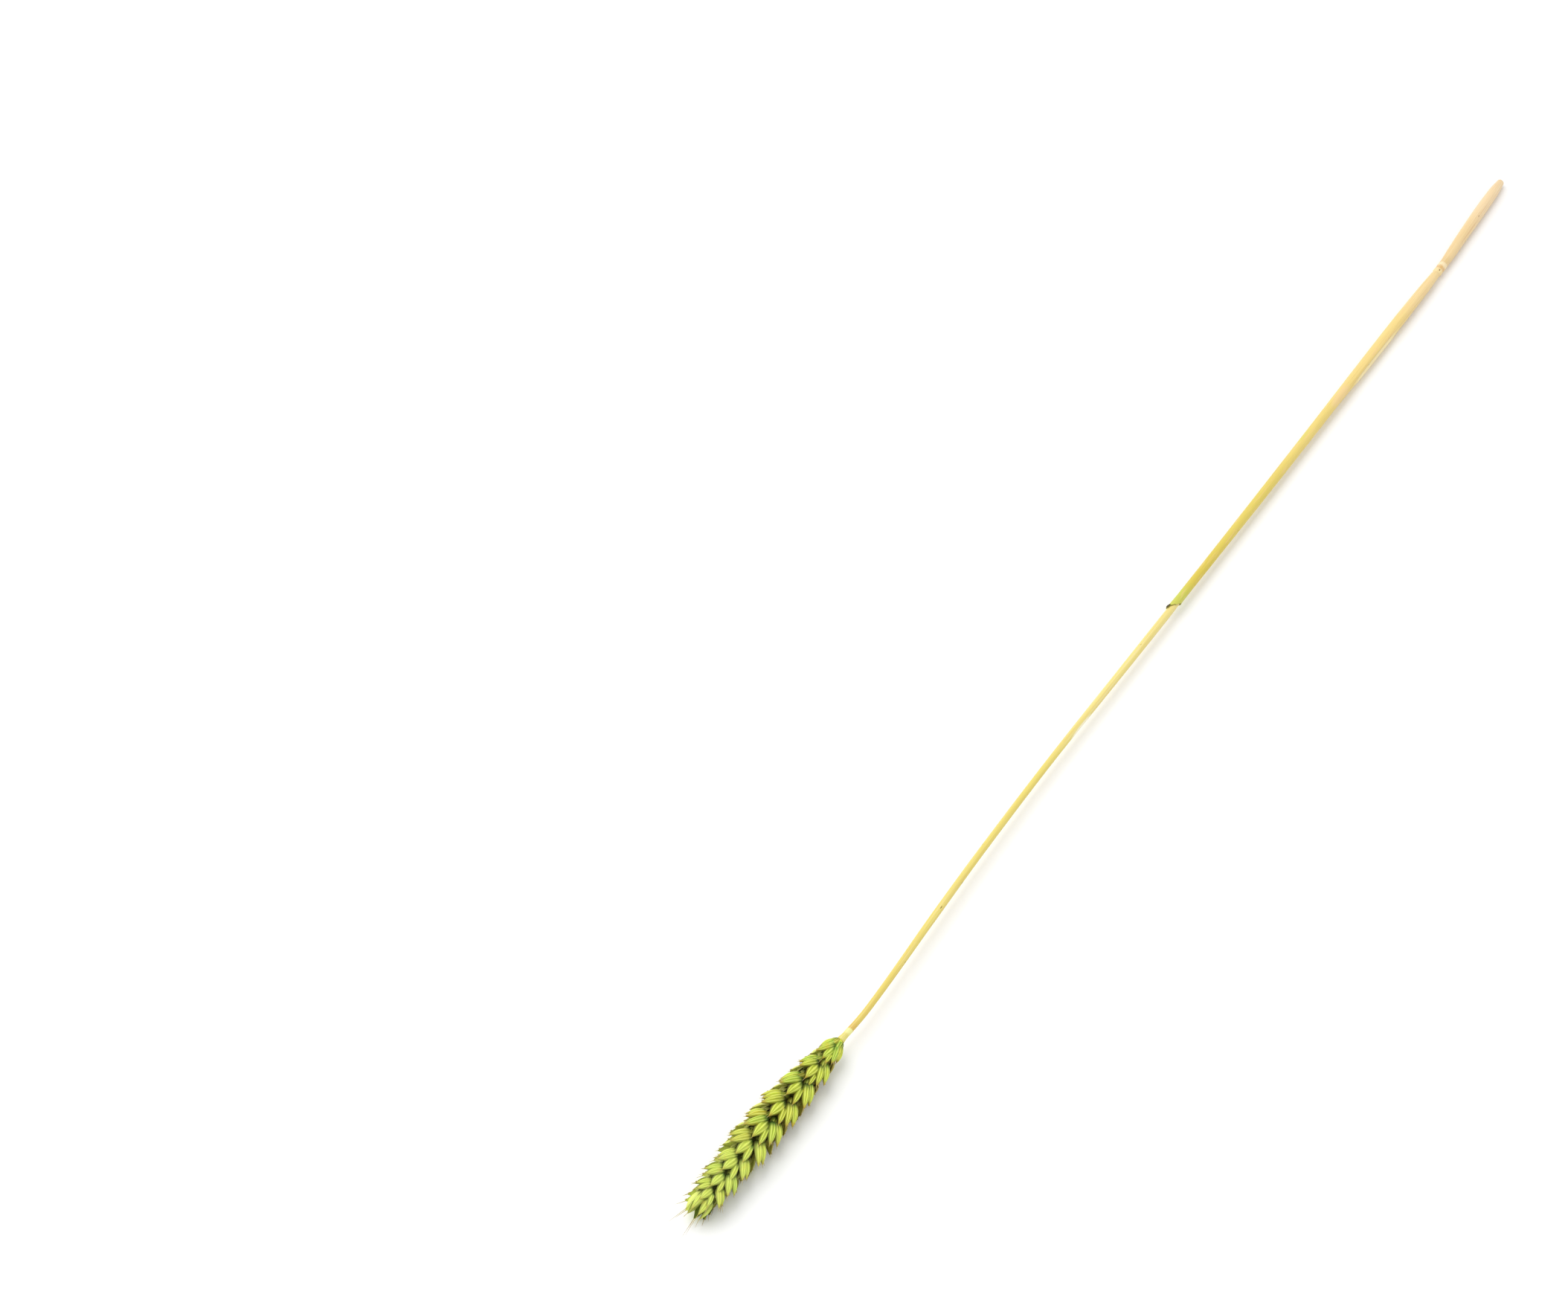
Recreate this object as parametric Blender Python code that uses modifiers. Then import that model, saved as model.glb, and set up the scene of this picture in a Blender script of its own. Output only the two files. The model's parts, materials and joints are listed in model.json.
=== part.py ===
"""A ripe ear of wheat on its whole straw, lying on a flat surface.

The straw runs along +X from its cut end to the tip of the ear, and the surface is z = 0.
Everything is in metres, with +Z up.
"""

import math
import random
from dataclasses import dataclass

import bmesh
import bpy
from mathutils import Matrix, Vector

MM = 0.001
CLEARANCE = 0.3 * MM

# Centre line: distance along X from the cut end, sideways wander and height above the surface, in mm
CENTRE_LINE = (
    (0, 0.5, 1.75),
    (10, 0.85, 2.32),
    (30, 1.35, 2.52),
    (50, 1.9, 2.56),
    (72, 2.65, 2.66),
    (100, 2.4, 2.84),
    (140, 1.8, 3.08),
    (200, 1.15, 3.45),
    (250, 0.65, 3.75),
    (300, -0.05, 4.05),
    (360, -1.0, 4.44),
    (420, -2.0, 4.82),
    (470, -1.85, 5.1),
    (500, -1.2, 5.25),
    (545, 0.0, 5.4),
    (562, -1.0, 5.44),
    (600, -3.6, 5.46),
    (645, -5.2, 5.15),
)
# The origin on the surface, under the middle of the whole thing, from the start of the centre line
MIDDLE_X = 323.15 * MM
MIDDLE_Y = -3.48 * MM

# Straw
STRAW_SIDES = 12
STRAW_STEP = 16 * MM
STRAW_END = 560.6 * MM
LUMEN_RADIUS = 1.15 * MM
LUMEN_DEPTH = 66 * MM

# Straw radius at stations along X, in mm: stub, node, upper internode inside the sheath, then free, collar
STRAW_RADII = (
    (0, 1.6),
    (3, 1.82),
    (10, 2.28),
    (20, 2.42),
    (30, 2.48),
    (40, 2.42),
    (52, 2.26),
    (62, 2.16),
    (67, 2.02),
    (71, 1.86),
    (72.8, 1.88),
    (73.6, 1.98),
    (75.2, 1.98),
    (76.2, 1.82),
    (77.6, 1.82),
    (78.6, 1.96),
    (79.8, 1.94),
    (80.6, 1.5),
    (83, 1.44),
    (90, 1.7),
    (100, 1.86),
    (118, 1.98),
    (150, 1.84),
    (200, 1.52),
    (250, 1.4),
    (300, 1.2),
    (320, 1.18),
    (331, 1.4),
    (345, 1.4),
    (360, 1.36),
    (420, 1.16),
    (460, 1.16),
    (500, 1.22),
    (540, 1.04),
    (554.6, 1.04),
    (555.4, 1.1),
    (556.4, 1.1),
    (557.2, 1.04),
    (558.4, 1.06),
    (560.6, 1.38),
)

# Leaf sheath: a thin skin round the straw, split down one side, with a torn upper end
SHEATH_START = 81 * MM
SHEATH_END = 329.4 * MM
SHEATH_STEP = 14 * MM
SHEATH_SIDES = 14
SHEATH_GAP = 0.12 * MM
SHEATH_WALL = 0.28 * MM
SHEATH_RIM = 0.06 * MM
SHEATH_RIM_LENGTH = 2.5 * MM
# Where the sheath's margins meet: distance along X in mm and angle from the level side upwards, in degrees
SHEATH_SPLIT_PATH = ((81, 5), (110, 18), (130, 31), (150, 33), (172, 26), (200, -12), (240, -50), (329.4, -70))
SHEATH_SPLIT = math.radians(8)
SHEATH_TEAR = 6.4 * MM
SHEATH_TEAR_AT = 2.06

# Ear
EAR_START = STRAW_END + CLEARANCE
EAR_ROLL = math.radians(24)
SPIKELET_COUNT = 18
# Where the spikelets stand: number of the spikelet and distance along X in mm. They close up towards the tip
SPIKELET_PLACES = ((0, 562.0), (4, 579.3), (8, 597.0), (12, 612.9), (15, 622.8), (18, 631.2))
# From this spikelet on, the outermost scale of each flank is too small to show
SMALL_FROM = 12
CORE_SIDES = 8
CORE_STEP = 4.3 * MM
CORE_WIDTH = 2.3 * MM
CORE_DEPTH = 2.1 * MM
CORE_FOOT = 1.5 * MM
CORE_SWELL = 8 * MM
# Spikelet sizes along the ear: number of the spikelet and its share of the full size
SPIKELET_SIZES = ((0, 0.70), (3, 0.92), (6, 1.0), (9, 1.0), (13, 0.86), (17, 0.68))
AWNS_LENGTHEN_AT = 10
AWN_GROWTH = 2.4
SEED = 41


@dataclass(frozen=True)
class Scale:
    """One scale of a spikelet: angles in degrees, lengths in mm, in the spikelet's own frame.

    turn is measured from the ear's axis towards the side, rise from the spikelet's plane outwards,
    and keel is how far the scale's ridge faces the side.
    """

    turn: float
    rise: float
    keel: float
    along: float
    side: float
    out: float
    length: float
    width: float
    depth: float
    awn: float


# The three scales of each flank, nearest the rachis first, and the two florets in the middle
FLANK = (
    Scale(turn=44, rise=3, keel=72, along=-0.6, side=0.9, out=0.5, length=8.2, width=3.2, depth=1.4, awn=0.5),
    Scale(turn=39, rise=9, keel=42, along=0.0, side=0.8, out=1.3, length=9.1, width=3.4, depth=1.4, awn=0.7),
    Scale(turn=32, rise=14, keel=18, along=1.0, side=0.6, out=1.8, length=9.6, width=3.3, depth=1.3, awn=1.0),
)
MIDDLE = (
    Scale(turn=13, rise=15, keel=14, along=3.2, side=0.5, out=1.8, length=8.4, width=2.8, depth=1.2, awn=1.0),
    Scale(turn=-8, rise=16, keel=-8, along=2.2, side=-0.2, out=1.8, length=8.6, width=3.7, depth=1.5, awn=1.6),
)

# The spikelet at the tip: its scales stand round the ear's axis
TIP_LENGTH = 8.6 * MM
TIP_WIDTH = 3.0 * MM
TIP_DEPTH = 1.3 * MM
TIP_OPENING = math.radians(11)
TIP_ROOT_BACK = 2.0 * MM
TIP_ROOT_OUT = 0.9 * MM
TIP_AWNS = (9.0, 3.0, 7.0, 2.0, 8.0, 4.0)

# A scale's cross-section, from edge over the keel to edge and under, as shares of half width and depth
SECTION = ((-1.0, -0.15), (-0.55, 0.68), (0.0, 1.0), (0.55, 0.68), (1.0, -0.15))
# Rings along a scale: share of the length, of the half width and of the depth
RINGS = ((0.0, 0.5, 0.8), (0.28, 0.96, 1.0), (0.64, 0.9, 0.88), (0.92, 0.32, 0.36))
SCALE_BOW = 0.06
# An awn longer than this leaves the scale's tip through a neck of this half width
AWN_WITH_NECK = 2.5 * MM
AWN_NECK = 0.24 * MM

STRAW_COLOUR = (0.78, 0.60, 0.30, 1.0)
SHEATH_COLOUR = (0.72, 0.58, 0.16, 1.0)
EAR_COLOUR = (0.42, 0.50, 0.07, 1.0)


def hermite(stations, x):
    """The values at x of a smooth line through stations, each (x, value, ...), in their own unit."""
    last = len(stations) - 2
    i = min(max(sum(1 for s in stations if s[0] <= x) - 1, 0), last)
    a, b = stations[i], stations[i + 1]
    before, after = stations[max(i - 1, 0)], stations[min(i + 2, last + 1)]
    span = b[0] - a[0]
    t = (x - a[0]) / span
    values = []
    for axis in range(1, len(a)):
        slope_a = (b[axis] - before[axis]) / (b[0] - before[0]) * span
        slope_b = (after[axis] - a[axis]) / (after[0] - a[0]) * span
        values.append(
            (2 * t**3 - 3 * t**2 + 1) * a[axis]
            + (t**3 - 2 * t**2 + t) * slope_a
            + (3 * t**2 - 2 * t**3) * b[axis]
            + (t**3 - t**2) * slope_b
        )
    return values


def straight(stations, x):
    """The value at x of straight lines through stations, each (x, value)."""
    for (x0, v0), (x1, v1) in zip(stations, stations[1:]):
        if x <= x1:
            return v0 + (v1 - v0) * max(x - x0, 0) / (x1 - x0)
    return stations[-1][1]


def centre(x):
    """The point of the centre line at distance x from the cut end, in metres."""
    y, z = hermite(CENTRE_LINE, x / MM)
    return Vector((x - MIDDLE_X, y * MM - MIDDLE_Y, z * MM))


def frame_at(x):
    """The centre line's direction at x, with the level and the upward vector square to it."""
    along = (centre(x + MM) - centre(x - MM)).normalized()
    level = Vector((0, 0, 1)).cross(along).normalized()
    return along, level, along.cross(level)


def straw_radius(x):
    return straight(STRAW_RADII, x / MM) * MM


def stations_between(start, end, step):
    count = max(round((end - start) / step), 1)
    return [start + (end - start) * i / count for i in range(count + 1)]


def material(name, colour, roughness):
    made = bpy.data.materials.new(name)
    made.use_nodes = True
    shader = made.node_tree.nodes["Principled BSDF"]
    shader.inputs["Base Color"].default_value = colour
    shader.inputs["Roughness"].default_value = roughness
    shader.inputs["Metallic"].default_value = 0.0
    made.diffuse_color = colour
    return made


def add_object(name, mesh, collection):
    obj = bpy.data.objects.new(name, mesh)
    collection.objects.link(obj)
    return obj


def new_collection(name):
    made = bpy.data.collections.new(name)
    bpy.context.scene.collection.children.link(made)
    return made


def finish(obj, dressing):
    obj.data.materials.clear()
    obj.data.materials.append(dressing)
    obj.data.shade_smooth()
    obj.data.set_sharp_from_angle(angle=math.radians(50))


def apply_modifiers(obj):
    """Puts what the modifiers make into the object's own mesh."""
    graph = bpy.context.evaluated_depsgraph_get()
    graph.update()
    made = bpy.data.meshes.new_from_object(obj.evaluated_get(graph))
    obj.modifiers.clear()
    old = obj.data
    obj.data = made
    bpy.data.meshes.remove(old)


def keep_largest_body(obj):
    """Drops every loose scrap of the object's mesh and the inner wall of every hollow that is sealed."""
    body = bmesh.new()
    body.from_mesh(obj.data)
    left = set(body.faces)
    islands = []
    while left:
        island = {left.pop()}
        edge = list(island)
        while edge:
            for side in edge.pop().edges:
                for face in side.link_faces:
                    if face in left:
                        left.remove(face)
                        island.add(face)
                        edge.append(face)
        islands.append(island)
    islands.sort(key=len)
    scraps = [face for island in islands[:-1] for face in island]
    bmesh.ops.delete(body, geom=scraps, context="FACES")
    body.to_mesh(obj.data)
    body.free()


def tube_along(name, rings, sides, collection):
    """A closed tube along the centre line. rings are (x, radius); its caps are welded to its side."""
    curve = bpy.data.curves.new(name, "CURVE")
    curve.dimensions = "3D"
    curve.bevel_depth = 1.0
    curve.bevel_resolution = sides // 2 - 2
    curve.use_fill_caps = True
    spline = curve.splines.new("POLY")
    spline.points.add(len(rings) - 1)
    for point, (x, radius) in zip(spline.points, rings):
        point.co = (*centre(x), 1)
        point.radius = radius
    holder = add_object(name + "_curve", curve, collection)
    graph = bpy.context.evaluated_depsgraph_get()
    mesh = bpy.data.meshes.new_from_object(holder.evaluated_get(graph))
    mesh.name = name
    bpy.data.objects.remove(holder)
    welded = bmesh.new()
    welded.from_mesh(mesh)
    bmesh.ops.remove_doubles(welded, verts=welded.verts, dist=1e-6)
    bmesh.ops.recalc_face_normals(welded, faces=welded.faces)
    welded.to_mesh(mesh)
    welded.free()
    return add_object(name, mesh, collection)


def make_straw(parts, cutters):
    """The straw: hollow stub, node, upper internode and collar in one solid."""
    marks = [x * MM for x, _ in STRAW_RADII]
    places = set(marks)
    for start, end in zip(marks, marks[1:]):
        places.update(stations_between(start, end, STRAW_STEP))
    straw = tube_along("straw", [(x, straw_radius(x)) for x in sorted(places)], STRAW_SIDES, parts)
    inside = stations_between(-5 * MM, LUMEN_DEPTH, STRAW_STEP)
    lumen = tube_along("lumen", [(x, LUMEN_RADIUS) for x in inside], STRAW_SIDES, cutters)
    lumen.hide_render = True
    lumen.display_type = "WIRE"
    cut = straw.modifiers.new("Lumen", "BOOLEAN")
    cut.operation = "DIFFERENCE"
    cut.object = lumen
    return straw


def torn_end(angle):
    """How far the sheath's torn end stands back at this angle round the straw."""
    slant = 0.5 + 0.44 * math.sin(angle + SHEATH_TEAR_AT)
    return SHEATH_TEAR * (slant + 0.04 * math.sin(5 * angle) + 0.03 * math.sin(11 * angle))


def make_sheath(parts):
    """The leaf sheath: an open skin split down one side, given its wall by Solidify."""
    body = bmesh.new()
    rows = []
    marks = [x * MM for x, _ in STRAW_RADII if SHEATH_START < x * MM < SHEATH_END - 2 * SHEATH_TEAR]
    for x in sorted({*marks, *stations_between(SHEATH_START, SHEATH_END, SHEATH_STEP)}):
        near_end = max((x - SHEATH_END) / SHEATH_STEP + 1, 0)
        rim = SHEATH_RIM * max(1 - (x - SHEATH_START) / SHEATH_RIM_LENGTH, 0)
        split_at = math.radians(straight(SHEATH_SPLIT_PATH, x / MM))
        row = []
        for i in range(SHEATH_SIDES + 1):
            angle = split_at + SHEATH_SPLIT * (0.5 + near_end) + (
                (math.tau - SHEATH_SPLIT * (1 + 2 * near_end)) * i / SHEATH_SIDES
            )
            place = x - near_end * torn_end(angle)
            _, level, up = frame_at(place)
            radius = straw_radius(place) + SHEATH_GAP + rim
            point = centre(place) + (level * math.cos(angle) + up * math.sin(angle)) * radius
            row.append(body.verts.new(point))
        rows.append(row)
    for low, high in zip(rows, rows[1:]):
        for i in range(SHEATH_SIDES):
            body.faces.new((low[i], low[i + 1], high[i + 1], high[i]))
    mesh = bpy.data.meshes.new("leaf_sheath")
    body.to_mesh(mesh)
    body.free()
    sheath = add_object("leaf_sheath", mesh, parts)
    wall = sheath.modifiers.new("Wall", "SOLIDIFY")
    wall.thickness = SHEATH_WALL
    wall.offset = 1
    return sheath


def lofted(name, rings, collection, tip=None):
    """A closed solid through rings of points, ended by a cap, or by the point tip."""
    body = bmesh.new()
    rows = [[body.verts.new(point) for point in ring] for ring in rings]
    count = len(rows[0])
    for low, high in zip(rows, rows[1:]):
        for i in range(count):
            j = (i + 1) % count
            body.faces.new((low[i], low[j], high[j], high[i]))
    body.faces.new(rows[0])
    if tip is None:
        body.faces.new(rows[-1])
    else:
        point = body.verts.new(tip)
        for i in range(count):
            body.faces.new((rows[-1][i], rows[-1][(i + 1) % count], point))
    bmesh.ops.recalc_face_normals(body, faces=body.faces)
    bmesh.ops.triangulate(body, faces=body.faces)
    mesh = bpy.data.meshes.new(name)
    body.to_mesh(mesh)
    body.free()
    return add_object(name, mesh, collection)


def scale_solid(name, place, length, width, depth, awn, collection):
    """One boat-shaped scale with a keel and a pointed tip, drawn out by awn, along the +X of place."""
    rings = []
    for share, half_width, half_depth in RINGS:
        bow = SCALE_BOW * length * math.sin(math.pi * share)
        rings.append(
            [
                place @ Vector((share * length, y * half_width * width / 2, z * half_depth * depth + bow))
                for y, z in SECTION
            ]
        )
    if awn > AWN_WITH_NECK:
        rings.append([place @ Vector((length, y * AWN_NECK, z * AWN_NECK)) for y, z in SECTION])
    return lofted(name, rings, collection, tip=place @ Vector((length + awn, 0, 0)))


def scale_place(origin, along, side, out, scale, hand):
    """The frame of a scale: +X to its tip, +Z out of its keel. hand is 1 or -1, the flank it stands on."""
    turn, rise, keel = (math.radians(angle) for angle in (scale.turn * hand, scale.rise, scale.keel * hand))
    forward = (along * math.cos(turn) + side * math.sin(turn)) * math.cos(rise) + out * math.sin(rise)
    ridge = out * math.cos(keel) + side * math.sin(keel)
    ridge = (ridge - forward * ridge.dot(forward)).normalized()
    root = origin + (along * scale.along + side * scale.side * hand + out * scale.out) * MM
    turned = Matrix((forward, ridge.cross(forward), ridge)).transposed().to_4x4()
    return Matrix.Translation(root) @ turned


def varied(scale, rng):
    """The scale with its angles, length and awn drawn a little off the rule."""
    return Scale(
        turn=scale.turn + rng.uniform(-5, 5),
        rise=scale.rise + rng.uniform(-3, 3),
        keel=scale.keel + rng.uniform(-6, 6),
        along=scale.along,
        side=scale.side,
        out=scale.out,
        length=scale.length * rng.uniform(0.94, 1.06),
        width=scale.width,
        depth=scale.depth,
        awn=scale.awn * rng.uniform(0.4, 1.6),
    )


def ear_frame(x, rank):
    """Centre, direction, side and outward vector of the ear at x. rank is 1 for the upper row, -1 for the lower."""
    along, level, up = frame_at(x)
    out = (up * math.cos(EAR_ROLL) + level * math.sin(EAR_ROLL)) * rank
    return centre(x), along, out.cross(along), out


def spikelet_place(number):
    """The distance along X of a spikelet's root. The number past the last one gives the end of the core."""
    return hermite(SPIKELET_PLACES, number)[0] * MM


def awn_growth(number):
    """How much longer the awns are on spikelet number than at the ear's foot: they lengthen near the tip."""
    return 1 + AWN_GROWTH * max(number - AWNS_LENGTHEN_AT, 0) / (SPIKELET_COUNT - AWNS_LENGTHEN_AT)


def add_spikelet(number, pieces):
    """The scales of one spikelet. Even numbers stand in the upper row, odd ones in the lower."""
    rank = 1 if number % 2 == 0 else -1
    origin, along, side, out = ear_frame(spikelet_place(number), rank)
    size = straight(SPIKELET_SIZES, number)
    flank = FLANK if number < SMALL_FROM else FLANK[1:]
    placed = [(scale, hand) for scale in flank for hand in (1, -1)] + [(scale, 1) for scale in MIDDLE]
    for index, (scale, hand) in enumerate(placed):
        scale = varied(scale, random.Random(SEED + 100 * number + index))
        place = scale_place(origin, along, side, out, scale, hand)
        scale_solid(
            f"scale_{number}_{index}",
            place,
            scale.length * size * MM,
            scale.width * size * MM,
            scale.depth * size * MM,
            scale.awn * awn_growth(number) * MM,
            pieces,
        )


def add_tip(pieces):
    """The spikelet at the tip of the ear, its scales in two rows set round the axis."""
    foot = spikelet_place(SPIKELET_COUNT) - TIP_ROOT_BACK
    origin, along, side, out = ear_frame(foot, 1)
    for index, awn in enumerate(TIP_AWNS):
        around = math.tau * (index + 0.5) / len(TIP_AWNS)
        ridge = out * math.cos(around) + side * math.sin(around)
        forward = along * math.cos(TIP_OPENING) + ridge * math.sin(TIP_OPENING)
        ridge = (ridge - forward * ridge.dot(forward)).normalized()
        turned = Matrix((forward, ridge.cross(forward), ridge)).transposed().to_4x4()
        place = Matrix.Translation(origin + ridge * TIP_ROOT_OUT) @ turned
        scale_solid(f"tip_scale_{index}", place, TIP_LENGTH, TIP_WIDTH, TIP_DEPTH, awn * MM, pieces)


def ear_core(collection):
    """The rachis with the closed feet of the florets round it, which the scales stand out of."""
    last = spikelet_place(SPIKELET_COUNT)
    rings = []
    for x in stations_between(EAR_START, last, CORE_STEP):
        origin, _, side, out = ear_frame(x, 1)
        grown = min((x - EAR_START) / CORE_SWELL, 1.0)
        ended = min((last - x) / CORE_SWELL + 0.45, 1.0)
        width = (CORE_FOOT + (CORE_WIDTH - CORE_FOOT) * grown) * ended
        depth = (CORE_FOOT + (CORE_DEPTH - CORE_FOOT) * grown) * ended
        angles = [math.tau * i / CORE_SIDES for i in range(CORE_SIDES)]
        rings.append([origin + side * width * math.cos(a) + out * depth * math.sin(a) for a in angles])
    return lofted("ear", rings, collection)


def make_ear(parts, cutters):
    """The ear: every scale joined to the core, then flattened where it lies on the surface."""
    ear = ear_core(parts)
    pieces = new_collection("ear pieces")
    for number in range(SPIKELET_COUNT):
        add_spikelet(number, pieces)
    add_tip(pieces)
    union = ear.modifiers.new("Scales", "BOOLEAN")
    union.operation = "UNION"
    union.solver = "MANIFOLD"
    union.operand_type = "COLLECTION"
    union.collection = pieces
    apply_modifiers(ear)
    keep_largest_body(ear)
    for piece in list(pieces.objects):
        bpy.data.objects.remove(piece)
    bpy.data.collections.remove(pieces)
    bpy.ops.mesh.primitive_cube_add(size=1)
    surface = bpy.context.object
    surface.name = "surface"
    for owner in list(surface.users_collection):
        owner.objects.unlink(surface)
    cutters.objects.link(surface)
    surface.scale = (0.2, 0.1, 0.02)
    surface.location = (centre(EAR_START).x, 0, -0.01)
    surface.hide_render = True
    surface.display_type = "WIRE"
    flat = ear.modifiers.new("Lying flat", "BOOLEAN")
    flat.operation = "DIFFERENCE"
    flat.solver = "MANIFOLD"
    flat.object = surface
    return ear


def main():
    for obj in list(bpy.data.objects):
        bpy.data.objects.remove(obj)
    parts = new_collection("Wheat ear")
    cutters = new_collection("Cutters")
    finish(make_straw(parts, cutters), material("straw", STRAW_COLOUR, 0.45))
    finish(make_sheath(parts), material("leaf sheath", SHEATH_COLOUR, 0.5))
    finish(make_ear(parts, cutters), material("ear scales", EAR_COLOUR, 0.55))


main()
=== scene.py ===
"""The finished look of a ripe ear of wheat on its cut straw, lying on a plain pale surface.

The stem runs along +X from its cut end to the tip of the ear, +Z is up and the surface is z = 0.
Lengths are in metres, but stations and marks along the stem, and the scales' rules, are in millimetres.
"""

import json
import logging
import math
import random
from collections.abc import Iterable, Sequence
from dataclasses import dataclass, replace
from enum import Enum
from typing import Optional, Union

import bmesh
import bpy
from mathutils import Matrix, Vector

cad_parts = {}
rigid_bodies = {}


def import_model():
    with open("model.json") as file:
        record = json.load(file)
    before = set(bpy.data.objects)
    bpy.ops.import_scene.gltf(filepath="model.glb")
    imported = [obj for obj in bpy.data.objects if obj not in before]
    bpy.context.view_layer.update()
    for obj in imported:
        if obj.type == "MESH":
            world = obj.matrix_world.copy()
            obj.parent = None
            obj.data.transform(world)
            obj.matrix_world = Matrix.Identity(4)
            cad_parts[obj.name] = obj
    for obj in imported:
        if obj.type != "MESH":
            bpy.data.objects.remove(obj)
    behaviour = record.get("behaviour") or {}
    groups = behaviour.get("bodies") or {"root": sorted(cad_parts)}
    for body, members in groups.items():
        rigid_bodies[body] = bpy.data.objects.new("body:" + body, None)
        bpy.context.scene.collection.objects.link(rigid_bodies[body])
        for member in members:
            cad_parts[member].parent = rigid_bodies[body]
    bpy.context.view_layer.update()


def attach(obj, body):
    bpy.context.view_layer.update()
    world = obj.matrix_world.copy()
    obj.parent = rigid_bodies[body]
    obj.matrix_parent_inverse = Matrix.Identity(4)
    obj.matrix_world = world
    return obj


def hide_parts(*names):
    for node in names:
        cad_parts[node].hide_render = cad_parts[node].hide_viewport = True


LOG = logging.getLogger("wheat_ear")
SEED = 41
MM = 0.001
# The height above the surface over which low parts are pressed together.
SOFTNESS = 0.25 * MM
# More than any part of the stem is away from the middle.
FAR = 1.0

Colour = tuple[float, float, float, float]
Stations = tuple[tuple[float, ...], ...]


def paint(red: int, green: int, blue: int) -> Colour:
    """Turns a colour as a screen shows it into the light values that shaders use.

    Args:
        red: Amount of red, 0 to 255.
        green: Amount of green, 0 to 255.
        blue: Amount of blue, 0 to 255.

    Returns:
        The linear colour with full opacity.
    """

    def linear(part: int) -> float:
        """Undoes the screen's curve for one part of a colour."""
        share = part / 255
        return share / 12.92 if share <= 0.04045 else ((share + 0.055) / 1.055) ** 2.4

    return linear(red), linear(green), linear(blue), 1.0


def hermite(stations: Stations, x: float) -> list[float]:
    """Reads a smooth line through stations.

    Args:
        stations: Points (x, value, ...) in rising order of x.
        x: Where the line is read.

    Returns:
        One value for each column after the first.
    """
    last = len(stations) - 2
    i = min(max(sum(1 for station in stations if station[0] <= x) - 1, 0), last)
    a, b = stations[i], stations[i + 1]
    before, after = stations[max(i - 1, 0)], stations[min(i + 2, last + 1)]
    span = b[0] - a[0]
    t = (x - a[0]) / span
    values = []
    for axis in range(1, len(a)):
        slope_a = (b[axis] - before[axis]) / (b[0] - before[0]) * span
        slope_b = (after[axis] - a[axis]) / (after[0] - a[0]) * span
        values.append(
            (2 * t**3 - 3 * t**2 + 1) * a[axis]
            + (t**3 - 2 * t**2 + t) * slope_a
            + (3 * t**2 - 2 * t**3) * b[axis]
            + (t**3 - t**2) * slope_b
        )
    return values


def straight(stations: Stations, x: float) -> float:
    """Reads straight lines through stations (x, value) at x, level beyond both ends.

    Args:
        stations: Points (x, value) in rising order of x.
        x: Where the lines are read.

    Returns:
        The value at x.
    """
    for (x0, v0), (x1, v1) in zip(stations, stations[1:]):
        if x <= x1:
            return v0 + (v1 - v0) * max(x - x0, 0) / (x1 - x0)
    return stations[-1][1]


def smooth(low: float, high: float, value: float) -> float:
    """Rises softly from 0 at low to 1 at high, where low may be the larger."""
    t = min(max((value - low) / (high - low), 0.0), 1.0)
    return t * t * (3 - 2 * t)


def spaced(start: float, end: float, step: float) -> list[float]:
    """Lists evenly spaced places from start to end, both among them, about step apart."""
    count = max(round((end - start) / step), 1)
    return [start + (end - start) * i / count for i in range(count + 1)]


def around(count: int) -> list[float]:
    """Lists evenly spaced angles all the way round."""
    return [math.tau * i / count for i in range(count)]


def waves(parts: Stations, angle: float) -> float:
    """Adds up waves round the stem, each given as how many there are, its phase and its height."""
    return sum(height * math.sin(count * angle + phase) for count, phase, height in parts)


def squared(ridge: Vector, forward: Vector) -> Vector:
    """Turns a ridge's direction so that it stands square to the way forward."""
    return (ridge - forward * ridge.dot(forward)).normalized()


def standing(root: Vector, forward: Vector, ridge: Vector) -> Matrix:
    """Gives the frame at a root, its +X pointing forward and its +Z along a ridge square to that."""
    return Matrix.Translation(root) @ Matrix((forward, ridge.cross(forward), ridge)).transposed().to_4x4()


class Rank(Enum):
    """The two rows of spikelets along the ear."""

    UPPER = 1
    LOWER = -1


class ScaleKind(Enum):
    """The kinds of scale on a spikelet, in the order of their finer forms."""

    OUTER_GLUME = 0
    SIDE_LEMMA = 1
    INNER_LEMMA = 2
    NARROW_FLORET = 3
    BROAD_FLORET = 4
    TIP_SCALE = 5
    FOOT_GLUME = 6


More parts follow.
